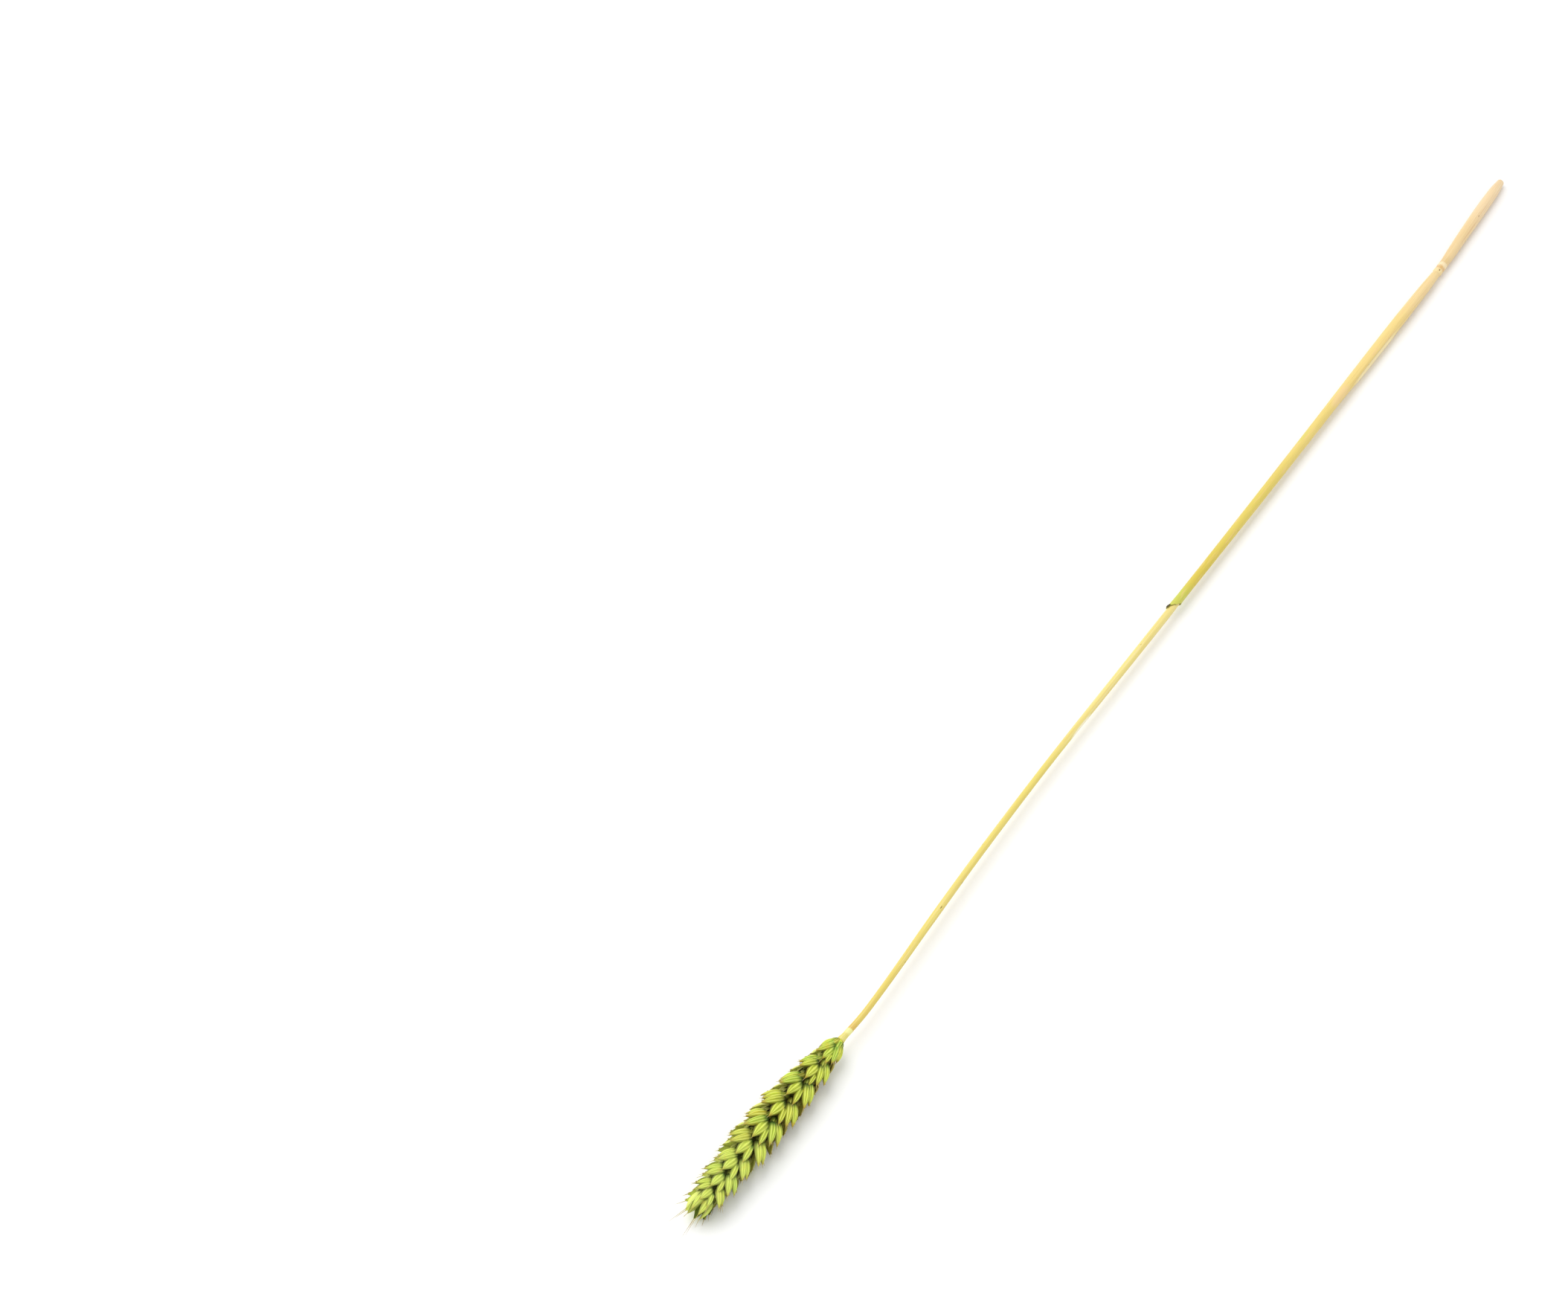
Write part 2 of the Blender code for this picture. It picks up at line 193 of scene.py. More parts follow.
@dataclass(frozen=True)
class CentreLine:
    """The line that the stem grows along: distance from the cut end, wander sideways and height in mm."""

    stations: Stations = (
        (0, 0.5, 1.75),
        (10, 0.85, 2.32),
        (30, 1.35, 2.52),
        (50, 1.9, 2.56),
        (72, 2.65, 2.66),
        (100, 2.4, 2.84),
        (140, 1.8, 3.08),
        (200, 1.15, 3.45),
        (250, 0.65, 3.75),
        (300, -0.05, 4.05),
        (360, -1.0, 4.44),
        (420, -2.0, 4.82),
        (470, -1.85, 5.1),
        (500, -1.2, 5.25),
        (545, 0.0, 5.4),
        (562, -1.0, 5.44),
        (600, -3.6, 5.46),
        (645, -5.2, 5.15),
    )
    middle_x: float = 323.15 * MM
    middle_y: float = -3.48 * MM

    def point(self, x: float) -> Vector:
        """Gives the point of the line at distance x from the cut end."""
        y, z = hermite(self.stations, x / MM)
        return Vector((x - self.middle_x, y * MM - self.middle_y, z * MM))

    def frame(self, x: float) -> tuple[Vector, Vector, Vector]:
        """Gives the line's direction at x, with the level and the upward vector square to it.

        Args:
            x: The distance from the cut end.

        Returns:
            The three unit vectors.
        """
        along = (self.point(x + MM) - self.point(x - MM)).normalized()
        level = Vector((0, 0, 1)).cross(along).normalized()
        return along, level, along.cross(level)

    def round_point(self, x: float, angle: float, radius: float) -> Vector:
        """Gives the point at an angle round the line, measured from the level side upwards."""
        _, level, up = self.frame(x)
        return self.point(x) + (level * math.cos(angle) + up * math.sin(angle)) * radius


class Socket:
    """One output of a node. Python expressions on it add the nodes that work them out."""

    def __init__(self, tree: "Tree", socket: bpy.types.NodeSocket) -> None:
        """Keeps the output and the tree it belongs to."""
        self.tree = tree
        self.socket = socket

    def math(self, operation: str, *others: "Value") -> "Socket":
        """Adds a Math node of the given operation on this and the values after it."""
        return self.tree.node("ShaderNodeMath", {"operation": operation}, dict(enumerate((self, *others))))

    def __add__(self, other: "Value") -> "Socket":
        """Adds."""
        return self.math("ADD", other)

    def __radd__(self, other: "Value") -> "Socket":
        """Adds to a plain number."""
        return self.math("ADD", other)

    def __sub__(self, other: "Value") -> "Socket":
        """Takes away."""
        return self.math("SUBTRACT", other)

    def __rsub__(self, other: "Value") -> "Socket":
        """Takes this away from a plain number."""
        return self.tree.node("ShaderNodeMath", {"operation": "SUBTRACT"}, {0: other, 1: self})

    def __mul__(self, other: "Value") -> "Socket":
        """Multiplies."""
        return self.math("MULTIPLY", other)

    def __rmul__(self, other: "Value") -> "Socket":
        """Multiplies a plain number."""
        return self.math("MULTIPLY", other)

    def __truediv__(self, other: "Value") -> "Socket":
        """Divides."""
        return self.math("DIVIDE", other)

    def power(self, exponent: "Value") -> "Socket":
        """Raises this to a power."""
        return self.math("POWER", exponent)

    def size(self) -> "Socket":
        """Drops the sign."""
        return self.math("ABSOLUTE")

    def least(self, other: "Value") -> "Socket":
        """Keeps the lower value."""
        return self.math("MINIMUM", other)

    def rise(self, low: float, high: float) -> "Socket":
        """Rises softly from 0 where this is low to 1 where it is high; it falls where low is the larger.

        Args:
            low: Where the result is 0.
            high: Where the result is 1.

        Returns:
            The share, 0 to 1.
        """
        ends = {"Value": self, "From Min": min(low, high), "From Max": max(low, high)}
        ends |= {"To Min": 0.0, "To Max": 1.0} if low < high else {"To Min": 1.0, "To Max": 0.0}
        return self.tree.node("ShaderNodeMapRange", {"interpolation_type": "SMOOTHSTEP"}, ends)


Value = Union[Socket, float, int, str, bool, tuple, bpy.types.ID]


class Tree:
    """A node tree with one way to add any node."""

    def __init__(self, tree: bpy.types.NodeTree) -> None:
        """Keeps the tree."""
        self.tree = tree

    def node(
        self,
        kind: str,
        settings: Optional[dict[str, object]] = None,
        values: Optional[dict[Union[str, int], Value]] = None,
        output: Union[str, int] = 0,
    ) -> Socket:
        """Adds a node.

        Args:
            kind: The node's type.
            settings: The node's own settings, which are set first.
            values: A value or a link for each socket, by name or place.
            output: The output that is wanted.

        Returns:
            That output.
        """
        made = self.tree.nodes.new(kind)
        for name, setting in (settings or {}).items():
            setattr(made, name, setting)
        for key, value in (values or {}).items():
            self.feed(made.inputs[key], value)
        return Socket(self, made.outputs[output])

    def feed(self, target: bpy.types.NodeSocket, value: Value) -> None:
        """Links a socket, or sets it to a plain value.

        Args:
            target: The socket.
            value: The link or the plain value.
        """
        if isinstance(value, Socket):
            self.tree.links.new(value.socket, target)
        else:
            target.default_value = value

    def noise(self, place: Socket, scale: float, detail: float = 2.0) -> Socket:
        """Adds a noise pattern.

        Args:
            place: Where the pattern is read.
            scale: How fine it is.
            detail: How many finer layers it has.

        Returns:
            The pattern, about 0.5 on average.
        """
        return self.node("ShaderNodeTexNoise", {}, {"Vector": place, "Scale": scale, "Detail": detail})

    def blend(self, share: Value, first: Value, second: Value) -> Socket:
        """Mixes two colours.

        Args:
            share: How much of the second there is.
            first: The first colour.
            second: The second colour.

        Returns:
            The mixed colour.
        """
        settings = {"data_type": "RGBA", "clamp_factor": True}
        return self.node("ShaderNodeMix", settings, {0: share, 6: first, 7: second}, 2)

    def vector(self, operation: str, *values: Value) -> Socket:
        """Adds a Vector Math node of the given operation on the given values."""
        return self.node("ShaderNodeVectorMath", {"operation": operation}, dict(enumerate(values)))

    def parts(self, vector: Socket) -> tuple[Socket, Socket, Socket]:
        """Splits a vector into its three numbers.

        Args:
            vector: The vector.

        Returns:
            The numbers along X, Y and Z.
        """
        first = self.node("ShaderNodeSeparateXYZ", {}, {0: vector})
        outputs = first.socket.node.outputs
        return first, Socket(self, outputs[1]), Socket(self, outputs[2])


class MaterialTree(Tree):
    """A material and its node tree."""

    def __init__(self, name: str) -> None:
        """Starts a material with one Principled shader.

        Args:
            name: The material's name.
        """
        self.material = bpy.data.materials.new(name)
        self.material.use_nodes = True
        super().__init__(self.material.node_tree)
        self.shader = self.tree.nodes["Principled BSDF"]

    def attribute(self, name: str, output: str = "Fac") -> Socket:
        """Reads one of the mesh's own values, as a number from Fac or as three from Vector."""
        return self.node("ShaderNodeAttribute", {"attribute_name": name}, {}, output)

    def place(self) -> Socket:
        """Reads where on the object each point is."""
        return self.node("ShaderNodeTexCoord", {}, {}, "Object")

    def bump(self, height: Socket, strength: float, distance: float) -> Socket:
        """Turns a height pattern into a normal.

        Args:
            height: The pattern.
            strength: Its share, 0 to 1.
            distance: The height that a value of 1 stands for, in metres.

        Returns:
            The normal.
        """
        values = {"Strength": strength, "Distance": distance, "Height": height}
        return self.node("ShaderNodeBump", {}, values, "Normal")

    def finish(self, **values: Value) -> bpy.types.Material:
        """Sets the shader's sockets, each named with _ for a space, and gives the material.

        Args:
            values: A value or a link for each of the shader's sockets.

        Returns:
            The material.
        """
        for name, value in values.items():
            self.feed(self.shader.inputs[name.replace("_", " ").title().replace("Ior", "IOR")], value)
        return self.material


class GeometryTree(Tree):
    """A Geometry Nodes tree with named inputs and one geometry output."""

    def __init__(self, name: str) -> None:
        """Starts a tree that takes and gives geometry.

        Args:
            name: The tree's name.
        """
        super().__init__(bpy.data.node_groups.new(name, "GeometryNodeTree"))
        self.tree.interface.new_socket("Geometry", in_out="INPUT", socket_type="NodeSocketGeometry")
        self.tree.interface.new_socket("Geometry", in_out="OUTPUT", socket_type="NodeSocketGeometry")
        self.start = self.tree.nodes.new("NodeGroupInput")
        self.end = self.tree.nodes.new("NodeGroupOutput")
        self.geometry = Socket(self, self.start.outputs[0])

    def input(self, name: str, kind: str) -> Socket:
        """Adds a named input, kind being Float, Material, Collection and so on."""
        self.tree.interface.new_socket(name, in_out="INPUT", socket_type="NodeSocket" + kind)
        return Socket(self, self.start.outputs[name])

    def named(self, name: str, kind: str) -> Socket:
        """Reads a named value of the geometry."""
        return self.node("GeometryNodeInputNamedAttribute", {"data_type": kind}, {"Name": name})

    def give(self, geometry: Socket, material: Socket) -> bpy.types.NodeTree:
        """Ends the tree: real geometry, smooth, in its material.

        Args:
            geometry: What the tree gives.
            material: The material it is dressed in.

        Returns:
            The finished tree.
        """
        real = self.node("GeometryNodeRealizeInstances", {}, {"Geometry": geometry})
        soft = self.node("GeometryNodeSetShadeSmooth", {}, {"Geometry": real})
        dressed = self.node("GeometryNodeSetMaterial", {}, {"Geometry": soft, "Material": material})
        self.feed(self.end.inputs[0], dressed)
        return self.tree


def run_tree(obj: bpy.types.Object, tree: bpy.types.NodeTree, values: dict[str, object]) -> None:
    """Runs a Geometry Nodes tree on an object and keeps the result as its plain mesh.

    Args:
        obj: The object.
        tree: The tree.
        values: A value for each of the tree's named inputs.
    """
    modifier = obj.modifiers.new(tree.name, "NODES")
    modifier.node_group = tree
    for item in tree.interface.items_tree:
        if item.in_out == "INPUT" and item.name in values:
            modifier[item.identifier] = values[item.name]
    keep_made(obj, values["Material"])


def keep_made(obj: bpy.types.Object, material: bpy.types.Material) -> None:
    """Keeps what an object's modifiers make as its plain mesh, all of it in one material.

    Args:
        obj: The object.
        material: The material.
    """
    graph = bpy.context.evaluated_depsgraph_get()
    graph.update()
    made = bpy.data.meshes.new_from_object(obj.evaluated_get(graph))
    obj.modifiers.clear()
    made.name = obj.name
    made.materials.clear()
    made.materials.append(material)
    obj.data = made


class Skin:
    """Collects rings of points into one mesh, with named values at every point."""

    def __init__(self) -> None:
        """Starts with nothing."""
        self.points: list[Vector] = []
        self.faces: list[tuple[int, ...]] = []
        self.values: dict[str, list[float]] = {}
        self.turns: list[float] = []

    def ring(
        self, points: Iterable[Vector], angles: Sequence[float] = (), **values: Sequence[float]
    ) -> list[int]:
        """Adds a row of points.

        Args:
            points: The points.
            angles: Each point's angle round the stem, for a finish that is laid round it.
            values: A list of numbers for each named value, one number for each point.

        Returns:
            The points' places in the mesh.
        """
        first = len(self.points)
        self.points.extend(points)
        for angle in angles:
            self.turns.extend((math.cos(angle), math.sin(angle), 0.0))
        for name, numbers in values.items():
            self.values.setdefault(name, []).extend(numbers)
        return list(range(first, len(self.points)))

    def bridge(self, low: Sequence[int], high: Sequence[int], closed: bool = True) -> None:
        """Joins two rows with faces, all the way round or leaving the last side open.

        Args:
            low: The first row.
            high: The second row.
            closed: Whether the last side is joined too.
        """
        for i in range(len(low) if closed else len(low) - 1):
            j = (i + 1) % len(low)
            self.faces.append((low[i], low[j], high[j], high[i]))

    def close(self, rows: Sequence[Sequence[int]]) -> None:
        """Joins rows all the way round, one after the other, and closes both ends.

        Args:
            rows: The rows.
        """
        for low, high in zip(rows, rows[1:]):
            self.bridge(low, high)
        self.faces.append(tuple(rows[0]))
        self.faces.append(tuple(rows[-1]))

    def to_object(self, name: str) -> bpy.types.Object:
        """Makes the object, its faces pointing outwards.

        Args:
            name: The object's name.

        Returns:
            The object, in the scene.
        """
        mesh = bpy.data.meshes.new(name)
        mesh.from_pydata(self.points, [], self.faces)
        for value_name, numbers in self.values.items():
            mesh.attributes.new(value_name, "FLOAT", "POINT").data.foreach_set("value", numbers)
        if self.turns:
            mesh.attributes.new("turn", "FLOAT_VECTOR", "POINT").data.foreach_set("vector", self.turns)
        body = bmesh.new()
        body.from_mesh(mesh)
        bmesh.ops.recalc_face_normals(body, faces=body.faces)
        body.to_mesh(mesh)
        body.free()
        mesh.shade_smooth()
        made = bpy.data.objects.new(name, mesh)
        bpy.context.scene.collection.objects.link(made)
        return made


def hand_over(piece: bpy.types.Object, node: str) -> None:
    """Lets a finished piece stand for a node of the frame and move with it.

    Args:
        piece: The piece.
        node: The node.
    """
    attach(piece, "root")
    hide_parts(node)
    LOG.info("%s: %d faces", piece.name, len(piece.data.polygons))


@dataclass(frozen=True)
class Mark:
    """A spot on the stem: distance from the cut end and size in mm, angle round the stem in degrees."""

    x: float
    angle: float
    length: float
    width: float
    colour: Colour
    strength: float = 0.8


class StemTree(MaterialTree):
    """A material that is laid round the stem, read by distance along it in mm and by angle.

    WOBBLE is how far, in mm, the edges of the bands wander along the stem. A spot fades out between the
    two squared shares of its reach in SPOT_EDGE.
    """

    WOBBLE: float = 1.4
    SPOT_EDGE: tuple[float, float] = (1.3, 0.3)

    def __init__(self, name: str) -> None:
        """Starts the material and reads where on the stem each point is.

        Args:
            name: The material's name.
        """
        super().__init__(name)
        self.station = self.attribute("station")
        self.across, self.up, _ = self.parts(self.attribute("turn", "Vector"))

    def grain(self, fineness: float, stretch: float, detail: float = 4.0) -> Socket:
        """Adds streaks along the stem.

        Args:
            fineness: How many there are round the stem.
            stretch: Their fineness along it, per mm.
            detail: How many finer layers they have.

        Returns:
            The pattern.
        """
        values = {"X": self.across * fineness, "Y": self.up * fineness, "Z": self.station * stretch}
        return self.noise(self.node("ShaderNodeCombineXYZ", {}, values), 1.5, detail)

    def banded(self, bands: tuple[tuple[float, float, Colour], ...], first: Colour) -> Socket:
        """Lays colours along the stem.

        Args:
            bands: Where each next colour begins and is reached, in mm, with the colour.
            first: The colour at the cut end.

        Returns:
            The colour.
        """
        values = {"X": self.across * 2.5, "Y": self.up * 2.5, "Z": self.station * 0.3}
        wobble = self.noise(self.node("ShaderNodeCombineXYZ", {}, values), 1.0, 3.0) - 0.5
        place = self.station + wobble * self.WOBBLE
        colour: Value = first
        for start, end, tone in bands:
            colour = self.blend(place.rise(start, end), colour, tone)
        return colour

    def marked(self, colour: Socket, marks: tuple[Mark, ...], radius: float = 1.6) -> Socket:
        """Lays spots over a colour.

        Args:
            colour: The colour under them.
            marks: The spots.
            radius: The stem's radius in mm, which turns their width into an angle.

        Returns:
            The colour with the spots.
        """
        for mark in marks:
            angle = math.radians(mark.angle)
            turned = 1.0 - (self.across * math.cos(angle) + self.up * math.sin(angle))
            along = ((self.station - mark.x) / (mark.length / 2)).power(2.0)
            reach = (mark.width / 2 / radius) ** 2 / 2
            inside = (along + turned / reach).rise(*self.SPOT_EDGE)
            colour = self.blend(inside * mark.strength, colour, mark.colour)
        return colour


@dataclass(frozen=True)
class StrawFinish:
    """Dry straw: pinkish cream at the foot, pale yellow towards the ear, with fine streaks along it."""

    stub: Colour = paint(240, 212, 166)
    bands: tuple[tuple[float, float, Colour], ...] = (
        (24, 50, paint(236, 207, 152)),
        (66, 72.4, paint(228, 198, 140)),
        (72.6, 74.0, paint(246, 226, 182)),
        (75.0, 76.6, paint(224, 182, 116)),
        (77.4, 78.8, paint(240, 216, 156)),
        (80, 84, paint(236, 208, 146)),
        (300, 334, paint(234, 217, 130)),
        (380, 430, paint(228, 210, 108)),
        (500, 548, paint(224, 203, 98)),
        (550, 554.6, paint(220, 186, 92)),
        (555.1, 555.5, paint(240, 238, 156)),
        (556.6, 558.0, paint(226, 214, 116)),
    )
    streak: Colour = paint(214, 168, 112)
    pale: Colour = paint(250, 240, 206)
    pith: Colour = paint(248, 238, 212)
    marks: tuple[Mark, ...] = (
        Mark(33.4, 52, 1.7, 0.3, paint(150, 108, 76), 0.7),
        Mark(79.2, 64, 0.9, 0.6, paint(104, 78, 30), 0.9),
        Mark(46.0, 36, 22.0, 0.5, paint(222, 176, 120), 0.5),
        Mark(399.0, 12, 15.0, 1.6, paint(252, 244, 214), 0.9),
        Mark(484.0, 8, 1.4, 0.5, paint(120, 100, 36)),
        Mark(497.5, 62, 1.5, 0.5, paint(104, 84, 30)),
        Mark(523.0, 22, 1.0, 0.4, paint(150, 128, 50)),
        Mark(466.0, 140, 1.2, 0.5, paint(150, 120, 50)),
        Mark(352.0, 95, 0.9, 0.4, paint(190, 150, 70)),
    )
    roughness: float = 0.44

    def material(self) -> bpy.types.Material:
        """Builds the material.

        Returns:
            The material.
        """
        tree = StemTree("dry straw")
        streaks = tree.grain(9.0, 0.035)
        colour = tree.banded(self.bands, self.stub)
        colour = tree.blend(streaks.rise(0.5, 0.72) * 0.55, colour, self.streak)
        colour = tree.blend(tree.grain(5.0, 0.02, 2.0).rise(0.54, 0.7) * 0.4, colour, self.pale)
        colour = tree.marked(colour, self.marks)
        colour = tree.blend(tree.attribute("inside"), colour, self.pith)
        return tree.finish(
            base_color=colour,
            roughness=streaks.rise(0.3, 0.8) * 0.2 + (self.roughness - 0.1),
            normal=tree.bump(streaks * 0.6 + tree.attribute("rib") * 0.4, 0.5, 0.06 * MM),
            specular_ior_level=0.35,
        )


@dataclass(frozen=True)
class SheathFinish:
    """A dry leaf sheath, finely ribbed: cream at the node, then yellow, green-yellow at its torn end."""

    foot: Colour = paint(240, 212, 154)
    bands: tuple[tuple[float, float, Colour], ...] = (
        (100, 125, paint(240, 212, 134)),
        (150, 205, paint(232, 208, 118)),
        (205, 260, paint(222, 202, 94)),
        (270, 306, paint(214, 194, 74)),
        (311, 321, paint(200, 204, 84)),
    )
    rosy: Colour = paint(240, 200, 144)
    # The torn end's dark line, the tear's own dark marks and painted shadow; flecks on the shred too.
    torn: Colour = paint(112, 100, 40)
    streak: Colour = paint(206, 172, 86)
    margin: Colour = paint(248, 234, 188)
    shred: Colour = paint(58, 36, 12)
    marks: tuple[Mark, ...] = (
        Mark(109.6, -22, 1.8, 0.9, paint(150, 104, 60)),
        Mark(155.0, 24, 1.6, 0.4, paint(176, 146, 84)),
        Mark(181.0, 60, 17.0, 4.2, paint(238, 204, 150), 0.6),
        Mark(212.0, 118, 12.0, 2.0, paint(214, 208, 96), 0.5),
        Mark(276.0, 22, 1.6, 0.4, paint(170, 150, 60)),
    )
    roughness: float = 0.46

    def material(self) -> bpy.types.Material:
        """Builds the skin's material.

        Returns:
            The material.
        """
        tree = StemTree("dry leaf sheath")
        colour = tree.banded(self.bands, self.foot)
        streaks = tree.grain(12.0, 0.03)
        colour = tree.blend(streaks.rise(0.5, 0.72) * 0.62, colour, self.streak)
        colour = tree.blend(tree.grain(1.4, 0.07, 2.0).rise(0.55, 0.7) * 0.4, colour, self.rosy)
        colour = tree.marked(colour, self.marks, 2.1)
        colour = tree.blend(tree.attribute("pale") * 0.65, colour, self.margin)
        colour = tree.blend(tree.attribute("margin").rise(0.16, 0.02) * 0.5, colour, self.streak)
        # A thin dark line along the torn end: the tear's own dark marks and a painted shadow line.
        colour = tree.blend(tree.attribute("edge").rise(0.2, 0.05) * 0.4, colour, self.torn)
        return tree.finish(
            base_color=colour,
            roughness=streaks * 0.15 + (self.roughness - 0.05),
            normal=tree.bump(streaks * 0.5 + tree.attribute("rib") * 0.5, 0.5, 0.06 * MM),
            specular_ior_level=0.35,
        )

    def shred_material(self) -> bpy.types.Material:
        """Builds the material of the dark torn shred.

        Returns:
            The material.
        """
        tree = MaterialTree("torn shred")
        colour = tree.blend(tree.noise(tree.place(), 2400.0).rise(0.5, 0.7) * 0.3, self.shred, self.torn)
        return tree.finish(base_color=colour, roughness=0.6)


@dataclass(frozen=True)
class ScaleFinish:
    """Papery scales: green at the root, yellow-green with pale ridges, browner at the edges and below.

    Much of this is painted light and shade: the roots' green is darkened with painted shade, the ridges
    carry painted highlights, the edges are browner with their own brown and painted shade, and the lower
    row is browner towards +Y with painted shade and paler towards -Y with painted light. The *_from and
    *_to places
    are distances along X in metres: the painted shade of the roots and gaps starts at dim_from, the ear is
    fresher from light_from on, and its last scales underneath are green from deep_from on.
    """

    # Painted shade: the dark of the gaps, the filler and foot scales' shade, and the roots' green darkened
    # with it.
    gap_shade: Colour = paint(38, 32, 3)
    shaded: Colour = paint(66, 66, 8)
    root: Colour = paint(72, 110, 18)
    body: Colour = paint(210, 224, 74)
    # Pale streaks, painted highlights on the ridges and painted light on the lower row's -Y side.
    pale: Colour = paint(250, 254, 144)
    warm: Colour = paint(212, 184, 56)
    green: Colour = paint(150, 206, 70)
    # Painted shade: a teal tint near the roots.
    cool_shade: Colour = paint(84, 168, 72)
    # Dark streaks, and painted shade in the grooves and down both sides of each scale.
    groove_shade_and_streak: Colour = paint(74, 78, 2)
    # Edges: their own brown and painted shade.
    edge: Colour = paint(92, 66, 10)
    tip: Colour = paint(180, 146, 56)
    # The under side in its own green, painted lighter to lift the shade on it.
    under: Colour = paint(208, 218, 84)
    # Painted shade on the lower row's +Y side.
    lower: Colour = paint(150, 126, 56)
    deep: Colour = paint(66, 96, 24)
    fleck: Colour = paint(112, 70, 26)
    fresh: Colour = paint(224, 246, 130)
    light_from: float = 0.272
    light_to: float = 0.3
    dim_from: float = 0.239
    dim_to: float = 0.252
    deep_from: float = 0.3065
    deep_to: float = 0.3085
    roughness: float = 0.5

    def material(self) -> bpy.types.Material:
        """Builds the material.

        Returns:
            The material.
        """
        tree = MaterialTree("wheat scales")
        along, across = tree.attribute("along"), tree.attribute("across")
        tint, ridge = tree.attribute("tint"), tree.attribute("ridge")
        place = tree.place()
        cloud = tree.noise(place, 420.0, 3.0)
        grain = {"X": across * 11.0, "Y": along * 2.2, "Z": tint * 30.0}
        streaks = tree.noise(tree.node("ShaderNodeCombineXYZ", {}, grain), 1.4, 3.0)
        # Green roots, darkened with painted shade, then each scale's own tint.
        colour = tree.blend((along + cloud * 0.3).rise(0.24, 0.68), self.root, self.body)
        colour = tree.blend(tint.rise(0.6, 1.0) * 0.5, colour, self.warm)
        colour = tree.blend(tint.rise(0.4, 0.0) * 0.5, colour, self.green)
        # Painted highlights on the ridges, painted shade in the grooves between them, and the under side
        # painted lighter to lift the shade on it.
        colour = tree.blend(ridge.rise(0.35, 0.0) * along.rise(0.15, 0.4) * 0.4, colour, self.groove_shade_and_streak)
        colour = tree.blend(ridge.rise(0.4, 1.0) * along.rise(0.1, 0.4) * 0.5, colour, self.pale)
        colour = tree.blend(tree.attribute("under") * 0.8, colour, self.under)
        # Streaks, the dry tip, painted shade down both sides of each scale, browner edges with their own
        # brown and painted shade, and spots.
        colour = tree.blend(streaks.rise(0.52, 0.75) * 0.35, colour, self.pale)
        colour = tree.blend(streaks.rise(0.46, 0.3) * 0.45, colour, self.groove_shade_and_streak)
        colour = tree.blend((along + cloud * 0.12).rise(0.86, 1.04) * 0.8, colour, self.tip)
        colour = tree.blend(across.size().rise(0.45, 0.95) * 0.7, colour, self.groove_shade_and_streak)
        colour = tree.blend((across.size() + cloud * 0.2).rise(0.9, 1.06) * 0.65, colour, self.edge)
        colour = tree.blend(cloud.rise(0.56, 0.72) * 0.35, colour, self.warm)
        specks = tree.noise(place, 1500.0, 1.0)
        colour = tree.blend(specks.rise(0.72, 0.78) * 0.5, colour, self.fleck)
        # Painted shade makes the lower row browner towards +Y, and painted light makes it paler towards -Y.
        side = tree.attribute("lower")
        lower = side.rise(0.0, 1.0)
        colour = tree.blend(lower * 0.55, colour, self.lower)
        colour = tree.blend(side.rise(0.0, -1.0) * 0.55, colour, self.pale)
        ahead, _, _ = tree.parts(place)
        colour = tree.blend(ahead.rise(self.light_from, self.light_to) * 0.3, colour, self.fresh)
        colour = tree.blend(ahead.rise(self.deep_from, self.deep_to) * lower * 0.8, colour, self.deep)
        # Painted shade near the roots past the neck: a teal tint, the dark of the gaps where the other
        # scales cover them, and shade on the filler and foot scales.
        past_neck = ahead.rise(self.dim_from, self.dim_to)
        cool_shaded = along.rise(0.34, 0.12) * tint.rise(0.5, 0.2) * past_neck
        colour = tree.blend(cool_shaded * 0.5, colour, self.cool_shade)
        colour = tree.blend(tree.attribute("shade") * past_neck, colour, self.shaded)
        colour = tree.blend(along.rise(0.4, 0.06) * past_neck * 0.93, colour, self.gap_shade)
        return tree.finish(
            base_color=colour,
            roughness=streaks * 0.2 + (self.roughness - 0.1),
            normal=tree.bump(streaks + cloud * 0.5, 0.6, 0.12 * MM),
            specular_ior_level=0.18,
        )


@dataclass(frozen=True)
class AwnFinish:
    """Dry awns: straw yellow, browner to the point."""

    root: Colour = paint(196, 176, 92)
    point: Colour = paint(182, 160, 116)

    def material(self) -> bpy.types.Material:
        """Builds the material.

        Returns:
            The material.
        """
        tree = MaterialTree("dry awns")
        colour = tree.blend(tree.attribute("along").rise(0.0, 0.8), self.root, self.point)
        colour = tree.blend(tree.noise(tree.place(), 900.0).rise(0.5, 0.7) * 0.3, colour, self.point)
        return tree.finish(base_color=colour, roughness=0.5)


